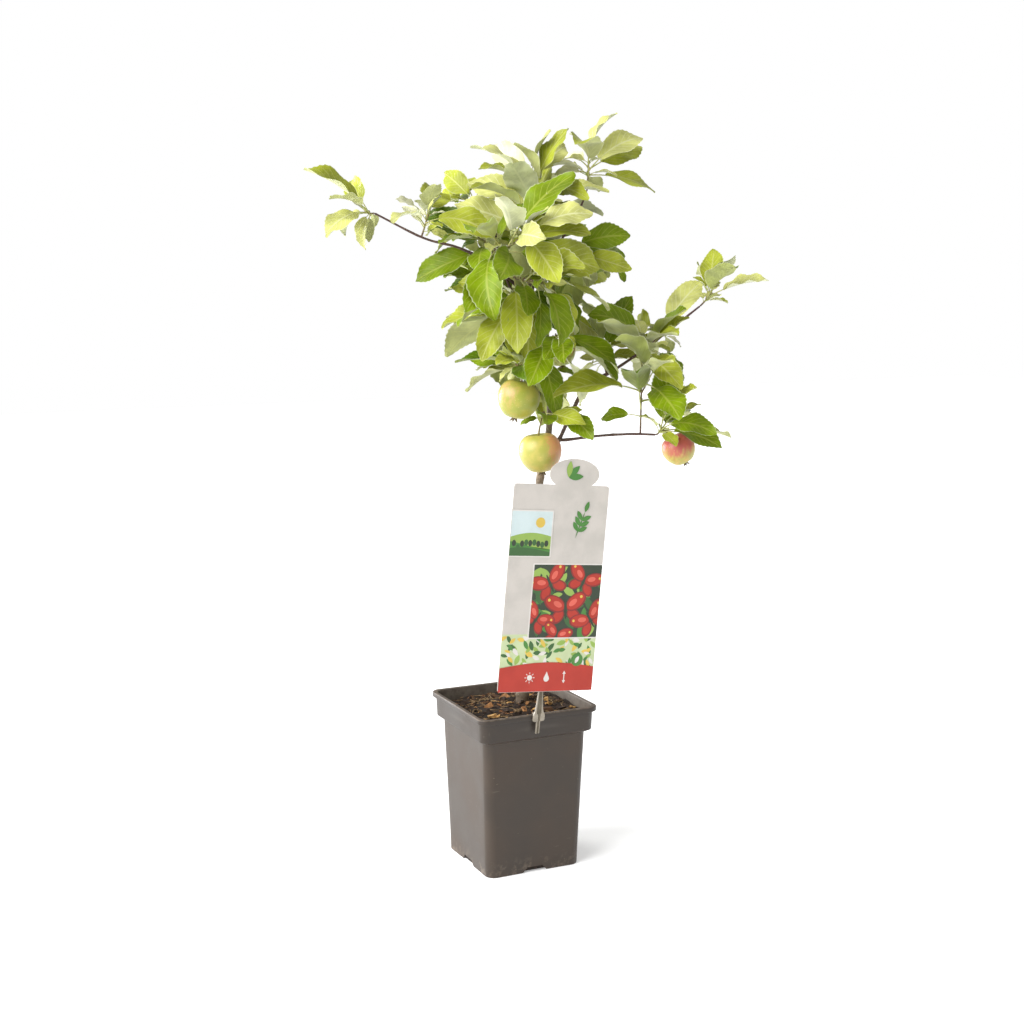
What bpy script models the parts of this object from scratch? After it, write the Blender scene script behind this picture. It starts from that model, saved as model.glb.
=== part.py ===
"""Young apple tree in a square nursery pot, with four apples and a label card clipped to the pot's rim.

Lengths are in metres and +Z is up. The origin is the middle of the pot's flat underside, and the pot's four
sides lie along X and Y, with the label at its -Y side. The tree is worked out in axes of its own, turned
TREE_TURN about Z, in which X runs across the crown's widest side and Y through it. Its limbs follow smooth
curves, and each mass of foliage grows by one seeded rule: leaves leave a stem at the golden angle, and a leaf
that would touch something or leave the mass's space is tried again and then skipped.
"""

import math
from collections import namedtuple

import bmesh
import bpy
import numpy as np
from mathutils.bvhtree import BVHTree

GAP = 0.0003
FLAT_ANGLE = math.radians(0.5)

# Pot: a thin square tub with rounded corners, a rim band and a turned lip
POT_HEIGHT = 0.200
POT_LIP_HALF = 0.0775
POT_BAND_HALF = 0.0742
POT_BAND_FOOT_HALF = 0.0733
POT_BODY_HALF = 0.0668
POT_FOOT_HALF = 0.0610
POT_CORNER = 0.0115
POT_WALL = 0.0016
POT_FLOOR = 0.0020
POT_BAND_HEIGHT = 0.0295
POT_SHOULDER = 0.0035
POT_LIP_HEIGHT = 0.0063
POT_LIP_EDGE = 0.0006
POT_FOOT_EDGE = 0.0010
CORNER_STEPS = 4
NOTCH_FOOT_WIDTH = 0.032
NOTCH_TOP_WIDTH = 0.020
NOTCH_HEIGHT = 0.0065
NOTCH_DEPTH = 0.014

# Soil: fills the pot and rises a little round the trunk's foot
SOIL_LEVEL = POT_HEIGHT - 0.009
SOIL_DIP = 0.004
SOIL_BUMP = 0.0012
SOIL_SHARES = (0.82, 0.62, 0.42, 0.22)
SOIL_FLAT_SHARE = 0.3
SOIL_SEED = 5

# Label: a card with an oval head, on a flat stem that is clipped over the lip
CARD_WIDTH = 0.124
CARD_HEIGHT = 0.244
CARD_THICKNESS = 0.0007
CARD_CORNER = 0.004
CARD_CENTRE = (0.0139, 0.3490)
CARD_LEAN = math.radians(5.2)
HEAD_CENTRE = (0.0147, 0.1345)
HEAD_HALF_WIDTH = 0.0325
HEAD_HALF_HEIGHT = 0.018
HEAD_STEPS = 20
STEM_THICKNESS = 0.0014
STEM_FOOT = (-0.0043, POT_HEIGHT)
STEM_WIDTH = 0.0065
STEM_TOP = 0.150
CLIP_WIDTH = 0.0145
CLIP_DROP = 0.008
CLIP_RISE = 0.002
HOOK_LEG = 0.0085
HOOK_WIDTH = 0.009
NECK_WIDTH = 0.0108
NECK_FOOT = 0.004
NECK_TOP = 0.026
TAIL_WIDTH = 0.005
TAIL_DROP = 0.0225

# Tree
TREE_TURN = math.radians(-25.5)
GOLDEN_ANGLE = math.radians(137.5)
ROOT_FLARE = 0.0028
FLARE_SHARE = 0.05
LIMB_POINTS = 15
PATH_STEPS = 24
SIDE_GUIDE = (0.31, 0.17, 0.93)

Limb = namedtuple("Limb", "carriers foot_radius tip_radius points")
LIMBS = {
    "trunk": Limb((), 0.0058, 0.0046, [
        (0.0110, 0.012, SOIL_LEVEL + GAP), (0.0113, 0.012, 0.205), (0.018, 0.008, 0.320),
        (0.026, 0.004, 0.420), (0.0365, 0.000, 0.499)]),
    "leader": Limb(("trunk",), 0.0040, 0.0019, [
        (0.0366, 0.000, 0.4993), (0.0425, -0.002, 0.530), (0.0400, -0.003, 0.583), (0.0180, -0.002, 0.624),
        (0.0100, 0.000, 0.661), (0.0180, 0.002, 0.694), (0.0290, 0.002, 0.728)]),
    "right_bough": Limb(("trunk", "leader"), 0.0027, 0.0012, [
        (0.0345, 0.000, 0.486), (0.054, 0.001, 0.515), (0.068, 0.002, 0.545), (0.088, 0.003, 0.581),
        (0.116, 0.004, 0.596), (0.161, 0.006, 0.627), (0.220, 0.008, 0.673)]),
    "lower_right_bough": Limb(("right_bough",), 0.0019, 0.0012, [
        (0.054, 0.001, 0.515), (0.067, -0.004, 0.5165), (0.102, -0.010, 0.5215), (0.140, -0.014, 0.5240),
        (0.168, -0.017, 0.5235)]),
    "left_bough": Limb(("leader",), 0.0019, 0.0011, [
        (0.0150, 0.001, 0.687), (-0.027, -0.004, 0.722), (-0.064, -0.008, 0.7405),
        (-0.104, -0.010, 0.7515), (-0.160, -0.012, 0.7795)]),
    "upper_left_bough": Limb(("leader",), 0.0018, 0.0012, [
        (0.0105, 0.0005, 0.668), (-0.007, 0.013, 0.702), (-0.019, 0.020, 0.747), (-0.025, 0.024, 0.782)]),
    "upper_right_bough": Limb(("leader",), 0.0018, 0.0011, [
        (0.0245, 0.002, 0.712), (0.038, 0.007, 0.724), (0.055, 0.011, 0.748), (0.073, 0.014, 0.774),
        (0.086, 0.016, 0.806)]),
    "back_bough": Limb(("leader",), 0.0021, 0.0012, [
        (0.0150, -0.001, 0.632), (0.020, 0.030, 0.655), (0.024, 0.052, 0.692), (0.026, 0.068, 0.730)]),
}

# A mass of foliage: its limb and the share of the limb's length where its stem leaves, the stem's heading and
# rise in degrees and its length, how many leaves the stem and how many side twigs it has, the length of a leaf
Mass = namedtuple("Mass", "limb share heading rise stem leaves twigs leaf_length seed")
MASSES = {
    "left_tip_leaves": Mass("left_bough", 1.0, 172, -7, 0.010, 6, 0, 0.066, 37044),
    "left_mid_leaves": Mass("left_bough", 0.7, -26, 67, 0.021, 4, 0, 0.067, 96180),
    "left_inner_leaves": Mass("left_bough", 0.36, -52, 4, 0.096, 11, 1, 0.078, 36932),
    "left_under_leaves": Mass("left_bough", 0.2, -48, -20, 0.079, 12, 1, 0.073, 19210),
    "right_tip_leaves": Mass("right_bough", 1.0, -2, 43, 0.016, 5, 0, 0.059, 90230),
    "right_mid_leaves": Mass("right_bough", 0.78, 81, 11, 0.013, 5, 0, 0.058, 50137),
    "right_spur_leaves": Mass("right_bough", 0.5, 113, 54, 0.030, 13, 1, 0.062, 26059),
    "right_front_leaves": Mass("right_bough", 0.66, -8, 14, 0.015, 6, 0, 0.067, 67480),
    "lower_spur_leaves": Mass("lower_right_bough", 0.84, 77, 85, 0.093, 8, 1, 0.081, 72817),
    "lower_tip_leaves": Mass("lower_right_bough", 1.0, 0, 34, 0.008, 8, 0, 0.065, 4026),
    "top_leaves": Mass("leader", 1.0, 113, 74, 0.081, 16, 2, 0.075, 16650),
    "upper_right_tip_leaves": Mass("upper_right_bough", 1.0, -15, 86, 0.027, 8, 0, 0.066, 84129),
    "upper_right_side_leaves": Mass("upper_right_bough", 0.45, -13, -60, 0.031, 11, 1, 0.068, 96583),
    "upper_left_tip_leaves": Mass("upper_left_bough", 1.0, 123, 3, 0.051, 12, 1, 0.065, 2258),
    "upper_left_side_leaves": Mass("upper_left_bough", 0.62, -142, 20, 0.039, 9, 0, 0.067, 9196),
    "front_leaves": Mass("leader", 0.8, -110, -6, 0.040, 9, 1, 0.062, 51112),
    "mid_right_leaves": Mass("leader", 0.66, 74, 39, 0.048, 10, 1, 0.092, 23520),
    "mid_left_leaves": Mass("leader", 0.58, 310, 1, 0.062, 7, 1, 0.071, 89821),
    "low_right_leaves": Mass("leader", 0.4, 76, 8, 0.043, 10, 0, 0.071, 63590),
    "low_left_leaves": Mass("leader", 0.43, -147, 0, 0.033, 9, 0, 0.066, 25592),
    "low_spur_leaves": Mass("leader", 0.15, -112, 29, 0.022, 5, 0, 0.065, 65785),
    "back_tip_leaves": Mass("back_bough", 1.0, 129, 32, 0.040, 9, 1, 0.071, 79471),
    "back_side_leaves": Mass("back_bough", 0.5, 53, 26, 0.059, 9, 0, 0.073, 4135),
    "back_left_leaves": Mass("leader", 0.72, 132, -5, 0.037, 10, 1, 0.070, 20116),
}
SPACE = 0.105
STEM_RADIUS = 0.0015
SHOOT_TIP_RADIUS = 0.0009
STEM_LIMB_SHARE = 0.85
STEM_POINTS = 4
STEM_SAG = 0.18
LONG_STEM = 0.03
BARE_SHARE = {"long": 0.25, "short": 0.5}
TIP_SHARE = 0.75
TIP_SHORTER = 0.3
TWIG_PLACE = (0.35, 0.45)
TWIG_TURN = 1.7
TWIG_RISE = (0.1, 0.8)
TWIG_LENGTH = 0.020
TWIG_LENGTH_SHARE = (0.8, 1.4)
TWIG_POINTS = 3
TWIG_LEAVES = 3
TWIG_LEAF_PLACE = 0.7
TWIG_LEAF_SHARE = 0.85
TWIG_RADIUS = 0.0011
TWIG_TAPER = 0.75
SHOOT_SIDES = 3

# Leaf: a stalk that widens to a folded blade, which arches, twists and turns its face to the light
STALK_RADIUS = 0.0009
LEAF_THICKNESS = 0.0010
LEAF_STATIONS = (-1.0, 0.0, 0.27, 0.64)
LEAF_CLEARANCE = 0.0006
LEAF_TRIES = 8
LEAF_GUIDE = (0.13, 0.21, 0.97)
SPIN_SPREAD = 0.3
OPENING_FOOT = 78
OPENING_TIP = 40
AIM_RAISE = 0.15
RISE_SHARE = 0.8
STALK_TRIED = -0.62
LIGHT = np.array([0.0, -0.86, 0.5])
LIGHT_TURN = 0.75

# The spread or range of each seeded draw for a leaf; its blade is a share of the mass's leaf length, its stalk
# too, its width a share of its own blade, and the rest are angles in radians
HEADING_SPREAD = 0.22
RISE_SPREAD = 0.28
ROLL_SPREAD = 0.36
TWIST_SPREAD = 0.35
BLADE_SHARE = (0.78, 1.16)
STALK_SHARE = (0.22, 0.42)
WIDTH_SHARE = (0.46, 0.60)
LIFT = (0.05, 0.45)
BEND = (0.5, 1.5)
FOLD = (0.10, 0.60)

# An apple: the mass that bears it, its centre, its radius and the lean of its axis to the right, in degrees
Apple = namedtuple("Apple", "mass centre radius lean")
APPLES = {
    "apple_left": Apple("low_left_leaves", (0.0062, -0.030, 0.5667), 0.0246, -12),
    "apple_low": Apple("low_spur_leaves", (0.0315, -0.032, 0.5046), 0.0250, 6),
    "apple_right": Apple("lower_tip_leaves", (0.1944, -0.020, 0.5070), 0.0195, 28),
    "apple_hidden": Apple("low_right_leaves", (0.0560, 0.014, 0.6190), 0.0180, 8),
}
APPLE_STEPS = 10
APPLE_RINGS = 7
APPLE_HEIGHT = 1.02
APPLE_SHOULDER = 0.09
APPLE_CLEARANCE = 0.0008
APPLE_STALK_RADIUS = 0.0009
APPLE_STALK_POINTS = 6
APPLE_STALK_FOOT = 0.80
APPLE_STALK_BOW = 0.004


def start_scene():
    """An empty scene with a collection for the tree's parts and one for the cutters."""
    for obj in list(bpy.data.objects):
        bpy.data.objects.remove(obj, do_unlink=True)
    parts = bpy.data.collections.new("potted_apple_tree")
    cutters = bpy.data.collections.new("cutters")
    for collection in (parts, cutters):
        bpy.context.scene.collection.children.link(collection)
    return parts, cutters


def make_material(name, colour, roughness):
    """Plain Principled material."""
    material = bpy.data.materials.new(name)
    material.use_nodes = True
    shader = material.node_tree.nodes["Principled BSDF"]
    shader.inputs["Base Color"].default_value = (*colour, 1.0)
    shader.inputs["Roughness"].default_value = roughness
    shader.inputs["Metallic"].default_value = 0.0
    return material


def mesh_object(name, solid, collection, material=None):
    """An object in the collection from a solid, which is a pair of points and faces."""
    points, faces = solid
    mesh = bpy.data.meshes.new(name)
    mesh.from_pydata(np.asarray(points).tolist(), [], [list(map(int, face)) for face in faces])
    obj = bpy.data.objects.new(name, mesh)
    collection.objects.link(obj)
    if material:
        mesh.materials.append(material)
    return obj


def evaluated_mesh(obj):
    """The object's mesh with its modifiers or its bevel worked out."""
    depsgraph = bpy.context.evaluated_depsgraph_get()
    return bpy.data.meshes.new_from_object(obj.evaluated_get(depsgraph))


def curve_to_mesh(obj, collection, material=None):
    """Mesh object with welded caps in place of a curve object."""
    mesh = evaluated_mesh(obj)
    grid = bmesh.new()
    grid.from_mesh(mesh)
    bmesh.ops.remove_doubles(grid, verts=grid.verts, dist=0.000001)
    bmesh.ops.recalc_face_normals(grid, faces=grid.faces)
    grid.to_mesh(mesh)
    grid.free()
    name, place = obj.name, obj.matrix_world.copy()
    curve = obj.data
    bpy.data.objects.remove(obj, do_unlink=True)
    bpy.data.curves.remove(curve)
    new = bpy.data.objects.new(name, mesh)
    new.matrix_world = place
    collection.objects.link(new)
    if material:
        mesh.materials.clear()
        mesh.materials.append(material)
    return new


def flat_plate(name, outline, thickness, collection):
    """A plate in the XZ plane: a flat outline, thickened evenly to both sides of it."""
    curve = bpy.data.curves.new(name, "CURVE")
    curve.dimensions = "2D"
    curve.fill_mode = "BOTH"
    curve.extrude = thickness / 2
    spline = curve.splines.new("POLY")
    spline.points.add(len(outline) - 1)
    for point, (across, up) in zip(spline.points, outline):
        point.co = (across, up, 0.0, 1.0)
    spline.use_cyclic_u = True
    obj = bpy.data.objects.new(name, curve)
    obj.rotation_euler = (math.pi / 2, 0.0, 0.0)
    collection.objects.link(obj)
    bpy.context.view_layer.update()
    return obj


def boolean(obj, operation, other, solver="EXACT"):
    """Boolean of the object with one object or with all of a collection, worked out at once."""
    modifier = obj.modifiers.new(operation.lower(), "BOOLEAN")
    modifier.operation = operation
    modifier.solver = solver
    if isinstance(other, bpy.types.Collection):
        modifier.operand_type = "COLLECTION"
        modifier.collection = other
    else:
        modifier.object = other
    bpy.context.view_layer.update()
    mesh = evaluated_mesh(obj)
    obj.modifiers.clear()
    obj.data = mesh


def island_of(vert, found):
    """All points that are joined by edges to a point, added to those found so far."""
    island, queue = [vert], [vert]
    found.add(vert)
    while queue:
        for edge in queue.pop().link_edges:
            for other in edge.verts:
                if other not in found:
                    found.add(other)
                    island.append(other)
                    queue.append(other)
    return island


def tidy_union(obj):
    """Drops sealed hollows and loose scraps, and joins faces that were split although they lie in one plane."""
    grid = bmesh.new()
    grid.from_mesh(obj.data)
    found = set()
    islands = [island_of(vert, found) for vert in grid.verts if vert not in found]
    islands.sort(key=len)
    for island in islands[:-1]:
        bmesh.ops.delete(grid, geom=island, context="VERTS")
    bmesh.ops.dissolve_limit(grid, angle_limit=FLAT_ANGLE, use_dissolve_boundaries=False,
                             verts=grid.verts, edges=grid.edges)
    grid.to_mesh(obj.data)
    grid.free()


def hide_cutter(obj):
    """A cutter shows as wire and isn't rendered."""
    obj.hide_render = True
    obj.display_type = "WIRE"


def remove_collection(collection):
    """Removes a collection of cutters or of joined pieces, with its objects."""
    for piece in list(collection.objects):
        bpy.data.objects.remove(piece, do_unlink=True)
    bpy.data.collections.remove(collection)


def smooth_path(points, count):
    """Points spaced evenly on one smooth curve through the given ones (Catmull-Rom)."""
    p = np.array(points, float)
    p = np.vstack([2 * p[0] - p[1], p, 2 * p[-1] - p[-2]])
    t = np.linspace(0, 1, PATH_STEPS, endpoint=False)[:, None]
    pieces = []
    for a, b, c, d in zip(p[:-3], p[1:-2], p[2:-1], p[3:]):
        square = 2 * a - 5 * b + 4 * c - d
        cube = 3 * b - a - 3 * c + d
        pieces.append(0.5 * (2 * b + (c - a) * t + square * t**2 + cube * t**3))
    path = np.vstack(pieces + [p[-2:-1]])
    run = np.r_[0, np.cumsum(np.linalg.norm(np.diff(path, axis=0), axis=1))]
    want = np.linspace(0, run[-1], count)
    return np.stack([np.interp(want, run, path[:, k]) for k in range(3)], 1)


def point_along(path, share):
    """The point at a share of a path's length."""
    at = share * (len(path) - 1)
    k = min(int(at), len(path) - 2)
    return path[k] + (path[k + 1] - path[k]) * (at - k)


def direction(heading, rise):
    """Unit vector from its heading, counted from +X, and its rise above the level."""
    level = math.cos(rise)
    return np.array([level * math.cos(heading), level * math.sin(heading), math.sin(rise)])


def turn_about(axis, angle, v):
    """v turned about the unit axis."""
    along = axis * np.dot(axis, v) * (1 - math.cos(angle))
    return v * math.cos(angle) + np.cross(axis, v) * math.sin(angle) + along


def loft(rings, tip=None):
    """Closed solid over rings of equal count, which ends in a point where a tip is given."""
    count, size = rings.shape[:2]
    points = rings.reshape(-1, 3)
    faces = []
    for i in range(count - 1):
        for j in range(size):
            a, b = i * size + j, i * size + (j + 1) % size
            faces += [(a, b, b + size), (a, b + size, a + size)]
    faces += [(0, j + 1, j) for j in range(1, size - 1)]
    last = (count - 1) * size
    if tip is None:
        faces += [(last, last + j, last + j + 1) for j in range(1, size - 1)]
    else:
        points = np.vstack([points, tip])
        faces += [(last + j, last + (j + 1) % size, len(points) - 1) for j in range(size)]
    return points, np.array(faces)


def tube(path, radii, sides):
    """Closed solid of a round shoot along a path."""
    path = np.asarray(path, float)
    tangents = np.gradient(path, axis=0)
    tangents /= np.linalg.norm(tangents, axis=1)[:, None]
    side = np.cross(tangents[0], SIDE_GUIDE)
    angles = np.arange(sides)[:, None] * 2 * math.pi / sides
    rings = []
    for centre, tangent, radius in zip(path, tangents, radii):
        side = side - tangent * np.dot(side, tangent)
        side /= np.linalg.norm(side)
        other = np.cross(tangent, side)
        rings.append(centre + radius * (np.cos(angles) * side + np.sin(angles) * other))
    return loft(np.array(rings))


def rounded_square(half, corner, height, centre=(0.0, 0.0), share=1.0):
    """Ring of points on a square with round corners, drawn in towards the centre by the share."""
    ring = []
    for quarter in range(4):
        middle = math.pi / 4 + quarter * math.pi / 2
        cx = math.copysign(half - corner, math.cos(middle))
        cy = math.copysign(half - corner, math.sin(middle))
        for angle in np.linspace(middle - math.pi / 4, middle + math.pi / 4, CORNER_STEPS + 1):
            ring.append((cx + corner * math.cos(angle), cy + corner * math.sin(angle)))
    ring = np.array(centre) + share * (np.array(ring) - np.array(centre))
    return np.column_stack([ring, np.full(len(ring), height)])


def band_half(height):
    """Half the width of the rim band, which narrows a little from the lip down to the band's foot."""
    share = (POT_HEIGHT - height) / POT_BAND_HEIGHT
    return POT_BAND_HALF + (POT_BAND_FOOT_HALF - POT_BAND_HALF) * share


def make_pot(parts, cutters):
    """Thin tub: up the outside to the lip, then down the inside to the floor, with a notch at each side."""
    band_foot = POT_HEIGHT - POT_BAND_HEIGHT
    lip_foot = POT_HEIGHT - POT_LIP_HEIGHT
    inner = POT_WALL
    profile = [
        (POT_FOOT_HALF - POT_FOOT_EDGE, 0.0),
        (POT_FOOT_HALF, POT_FOOT_EDGE),
        (POT_BODY_HALF, band_foot - POT_SHOULDER),
        (POT_BAND_FOOT_HALF, band_foot),
        (POT_BAND_HALF, POT_HEIGHT - inner),
        (POT_LIP_HALF - inner, POT_HEIGHT - inner),
        (POT_LIP_HALF - inner, lip_foot),
        (POT_LIP_HALF, lip_foot),
        (POT_LIP_HALF, POT_HEIGHT - POT_LIP_EDGE),
        (POT_LIP_HALF - POT_LIP_EDGE, POT_HEIGHT),
        (POT_BAND_HALF - inner, POT_HEIGHT),
        (POT_BAND_FOOT_HALF - inner, band_foot + inner),
        (POT_BODY_HALF - inner, band_foot + inner - POT_SHOULDER),
        (POT_FOOT_HALF - inner, POT_FLOOR),
    ]
    rings = [rounded_square(half, POT_CORNER, height) for half, height in profile]
    material = make_material("pot plastic", (0.105, 0.088, 0.075), 0.5)
    pot = mesh_object("pot", loft(np.array(rings)), parts, material)
    notches = bpy.data.collections.new("notches")
    cutters.children.link(notches)
    for side in range(4):
        notch = mesh_object(f"notch_{side}", notch_solid(), notches)
        notch.rotation_euler = (0.0, 0.0, side * math.pi / 2)
        hide_cutter(notch)
    boolean(pot, "DIFFERENCE", notches)
    remove_collection(notches)
    return pot


def notch_solid():
    """A trapezium at the foot of the -Y side, as wide as the notch and as deep as it cuts into the floor."""
    outside, inside = -POT_BODY_HALF, -POT_FOOT_HALF + NOTCH_DEPTH
    below = 0.001
    slope = (NOTCH_FOOT_WIDTH - NOTCH_TOP_WIDTH) / 2 / NOTCH_HEIGHT
    rings = []
    for height in (-below, NOTCH_HEIGHT):
        half = NOTCH_TOP_WIDTH / 2 + slope * (NOTCH_HEIGHT - height)
        rings.append([(-half, outside, height), (half, outside, height),
                      (half, inside, height), (-half, inside, height)])
    return loft(np.array(rings))


def trunk_foot():
    """Middle of the trunk's foot in the pot's axes."""
    x, y, _ = LIMBS["trunk"].points[0]
    cos, sin = math.cos(TREE_TURN), math.sin(TREE_TURN)
    return cos * x - sin * y, sin * x + cos * y


def make_soil(parts):
    """Block of soil inside the pot, 0.3 mm clear of it, with an uneven top that is flat under the trunk."""
    rng = np.random.default_rng(SOIL_SEED)
    band_foot = POT_HEIGHT - POT_BAND_HEIGHT
    shrink = POT_WALL + GAP
    rim = SOIL_LEVEL - SOIL_DIP
    sides = [
        (POT_FOOT_HALF, POT_FLOOR + GAP),
        (POT_BODY_HALF, band_foot + shrink - POT_SHOULDER),
        (POT_BAND_FOOT_HALF, band_foot + shrink),
        (band_half(rim), rim),
    ]
    rings = [rounded_square(half - shrink, POT_CORNER, height) for half, height in sides]
    for share in SOIL_SHARES:
        height = SOIL_LEVEL - SOIL_DIP * share**2
        ring = rounded_square(band_half(rim) - shrink, POT_CORNER, height, trunk_foot(), share)
        if share > SOIL_FLAT_SHARE:
            ring[:, 2] += rng.uniform(-SOIL_BUMP, SOIL_BUMP, len(ring))
        else:
            ring[:, 2] = SOIL_LEVEL
        rings.append(ring)
    material = make_material("potting soil", (0.045, 0.028, 0.018), 0.95)
    return mesh_object("soil", loft(np.array(rings)), parts, material)


def card_outline():
    """Outline of the card about its middle: a rectangle with round corners and an oval head on its top edge."""
    half_width, half_height = CARD_WIDTH / 2, CARD_HEIGHT / 2
    outline = []
    for quarter in range(4):
        if quarter == 1:
            dip = math.asin((half_height - HEAD_CENTRE[1]) / HEAD_HALF_HEIGHT)
            for angle in np.linspace(dip, math.pi - dip, HEAD_STEPS):
                outline.append((HEAD_CENTRE[0] + HEAD_HALF_WIDTH * math.cos(angle),
                                HEAD_CENTRE[1] + HEAD_HALF_HEIGHT * math.sin(angle)))
        middle = math.pi / 4 + quarter * math.pi / 2
        cx = math.copysign(half_width - CARD_CORNER, math.cos(middle))
        cy = math.copysign(half_height - CARD_CORNER, math.sin(middle))
        for angle in np.linspace(middle - math.pi / 4, middle + math.pi / 4, CORNER_STEPS + 1):
            outline.append((cx + CARD_CORNER * math.cos(angle), cy + CARD_CORNER * math.sin(angle)))
    return outline


def make_label_card(parts):
    """The card stands before the stem, 0.3 mm clear, and leans to the right with it."""
    material = make_material("printed card", (0.56, 0.47, 0.43), 0.45)
    card = flat_plate("label_card", card_outline(), CARD_THICKNESS, parts)
    front = -POT_LIP_HALF - GAP - STEM_THICKNESS - GAP
    card.location = (CARD_CENTRE[0], front - CARD_THICKNESS / 2, CARD_CENTRE[1])
    card.rotation_euler = (math.pi / 2, CARD_LEAN, 0.0)
    bpy.context.view_layer.update()
    return curve_to_mesh(card, parts, material)


def make_label_stem(parts):
    """Flat stem that leans with the card, has two small ears before the lip and ends in a tail under them."""
    material = make_material("label stem plastic", (0.28, 0.25, 0.21), 0.5)
    foot_x, foot_z = STEM_FOOT
    lean = math.tan(CARD_LEAN)
    steps = [(-TAIL_DROP, TAIL_WIDTH), (-CLIP_DROP, TAIL_WIDTH), (-CLIP_DROP, CLIP_WIDTH), (CLIP_RISE, CLIP_WIDTH),
             (NECK_FOOT, NECK_WIDTH), (NECK_TOP, STEM_WIDTH), (STEM_TOP, STEM_WIDTH)]
    right = [(foot_x + lean * up + width / 2, foot_z + up) for up, width in steps]
    left = [(foot_x + lean * up - width / 2, foot_z + up) for up, width in steps]
    outline = right + left[::-1]
    plate = flat_plate("label_stem", outline, STEM_THICKNESS, parts)
    plate.location = (0.0, -POT_LIP_HALF - GAP - STEM_THICKNESS / 2, 0.0)
    bpy.context.view_layer.update()
    stem = curve_to_mesh(plate, parts, material)
    # The hook runs from inside the plate over the lip and down inside the pot
    outside = -POT_LIP_HALF - GAP - STEM_THICKNESS / 2
    under, over = POT_HEIGHT + GAP, POT_HEIGHT + GAP + STEM_THICKNESS
    leg = POT_HEIGHT - HOOK_LEG
    inside = -band_half(leg) + POT_WALL + GAP
    profile = [(outside, under), (inside, under), (inside, leg), (inside + STEM_THICKNESS, leg),
               (inside + STEM_THICKNESS, over), (outside, over)]
    hook = flat_plate("hook", profile, HOOK_WIDTH, parts)
    hook.rotation_euler = (math.pi / 2, 0.0, math.pi / 2)
    hook.location = (foot_x, 0.0, 0.0)
    bpy.context.view_layer.update()
    hook = curve_to_mesh(hook, parts)
    boolean(stem, "UNION", hook, "MANIFOLD")
    bpy.data.objects.remove(hook, do_unlink=True)
    return stem


def limb_line(name):
    """A limb's path and its radius at each point, wider at the trunk's foot."""
    limb = LIMBS[name]
    path = smooth_path(limb.points, LIMB_POINTS)
    share = np.linspace(0, 1, LIMB_POINTS)
    radii = limb.foot_radius + (limb.tip_radius - limb.foot_radius) * share
    if name == "trunk":
        radii = radii + ROOT_FLARE * np.exp(-share / FLARE_SHARE)
    return path, radii


def limb_object(name, line, collection, material=None, extra=0.0):
    """Round tapering limb as a bevelled curve, or a copy that is fatter and longer at its tip by extra."""
    path, radii = line
    path = path.copy()
    if extra:
        end = path[-1] - path[-2]
        path[-1] += extra * end / np.linalg.norm(end)
    curve = bpy.data.curves.new(name, "CURVE")
    curve.dimensions = "3D"
    curve.bevel_depth = LIMBS[name].foot_radius
    curve.bevel_resolution = 1
    curve.use_fill_caps = True
    spline = curve.splines.new("POLY")
    spline.points.add(len(path) - 1)
    for point, place, radius in zip(spline.points, path, radii):
        point.co = (*place, 1.0)
        point.radius = (radius + extra) / curve.bevel_depth
    obj = bpy.data.objects.new(name, curve)
    collection.objects.link(obj)
    bpy.context.view_layer.update()
    return curve_to_mesh(obj, collection, material)


def make_limbs(parts, lines, guards, turn):
    """The trunk, its leader and the boughs, each with its foot cut to the limbs that carry it."""
    material = make_material("bark", (0.16, 0.11, 0.075), 0.8)
    for name, limb in LIMBS.items():
        obj = limb_object(name, lines[name], parts, material)
        for carrier in limb.carriers:
            boolean(obj, "DIFFERENCE", guards[carrier])
        obj.parent = turn


class Crown:
    """What has grown so far, so that what grows later keeps clear of it."""

    def __init__(self):
        self.grown = []

    def add(self, solid, owner):
        """Keeps a solid with the name of the mass that owns it."""
        points, faces = solid
        tree = BVHTree.FromPolygons(points.tolist(), faces.tolist())
        self.grown.append((points.min(0), points.max(0), tree, owner))

    def clear(self, solid, name, own):
        """Whether a solid touches nothing of its own mass, or nothing of all else."""
        points, faces = solid
        low, high = points.min(0), points.max(0)
        mine = None
        for other_low, other_high, tree, owner in self.grown:
            apart = (other_low > high).any() or (other_high < low).any()
            if (owner == name) != own or apart:
                continue
            mine = mine or BVHTree.FromPolygons(points.tolist(), faces.tolist())
            if mine.overlap(tree):
                return False
        return True


def leaf_width(share):
    """Share of a leaf's full width at a share of its blade's length."""
    return max(0.0, math.sin(math.pi * share**0.9)) ** 0.7


def leaf_section(leaf, t):
    """Midrib point, across and up at t: -1 at the stalk's foot, 0 at the blade's foot and 1 at its tip.

    The midrib is an arc: it leaves the shoot at the leaf's lift and bends down evenly to its tip.
    """
    stalk, blade = leaf["stalk"], leaf["blade"]
    run = (t + 1) * stalk if t < 0 else stalk + t * blade
    curl = leaf["bend"] / (stalk + blade)
    start = leaf["lift"]
    angle = start - curl * run
    ahead = (math.sin(start) - math.sin(angle)) / curl
    above = (math.cos(angle) - math.cos(start)) / curl
    along, across, up = leaf["axes"]
    point = leaf["foot"] + ahead * along + above * up
    here_along = math.cos(angle) * along + math.sin(angle) * up
    here_up = math.cos(angle) * up - math.sin(angle) * along
    twist = leaf["twist"] * max(t, 0)
    return point, turn_about(here_along, twist, across), turn_about(here_along, twist, here_up)


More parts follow.
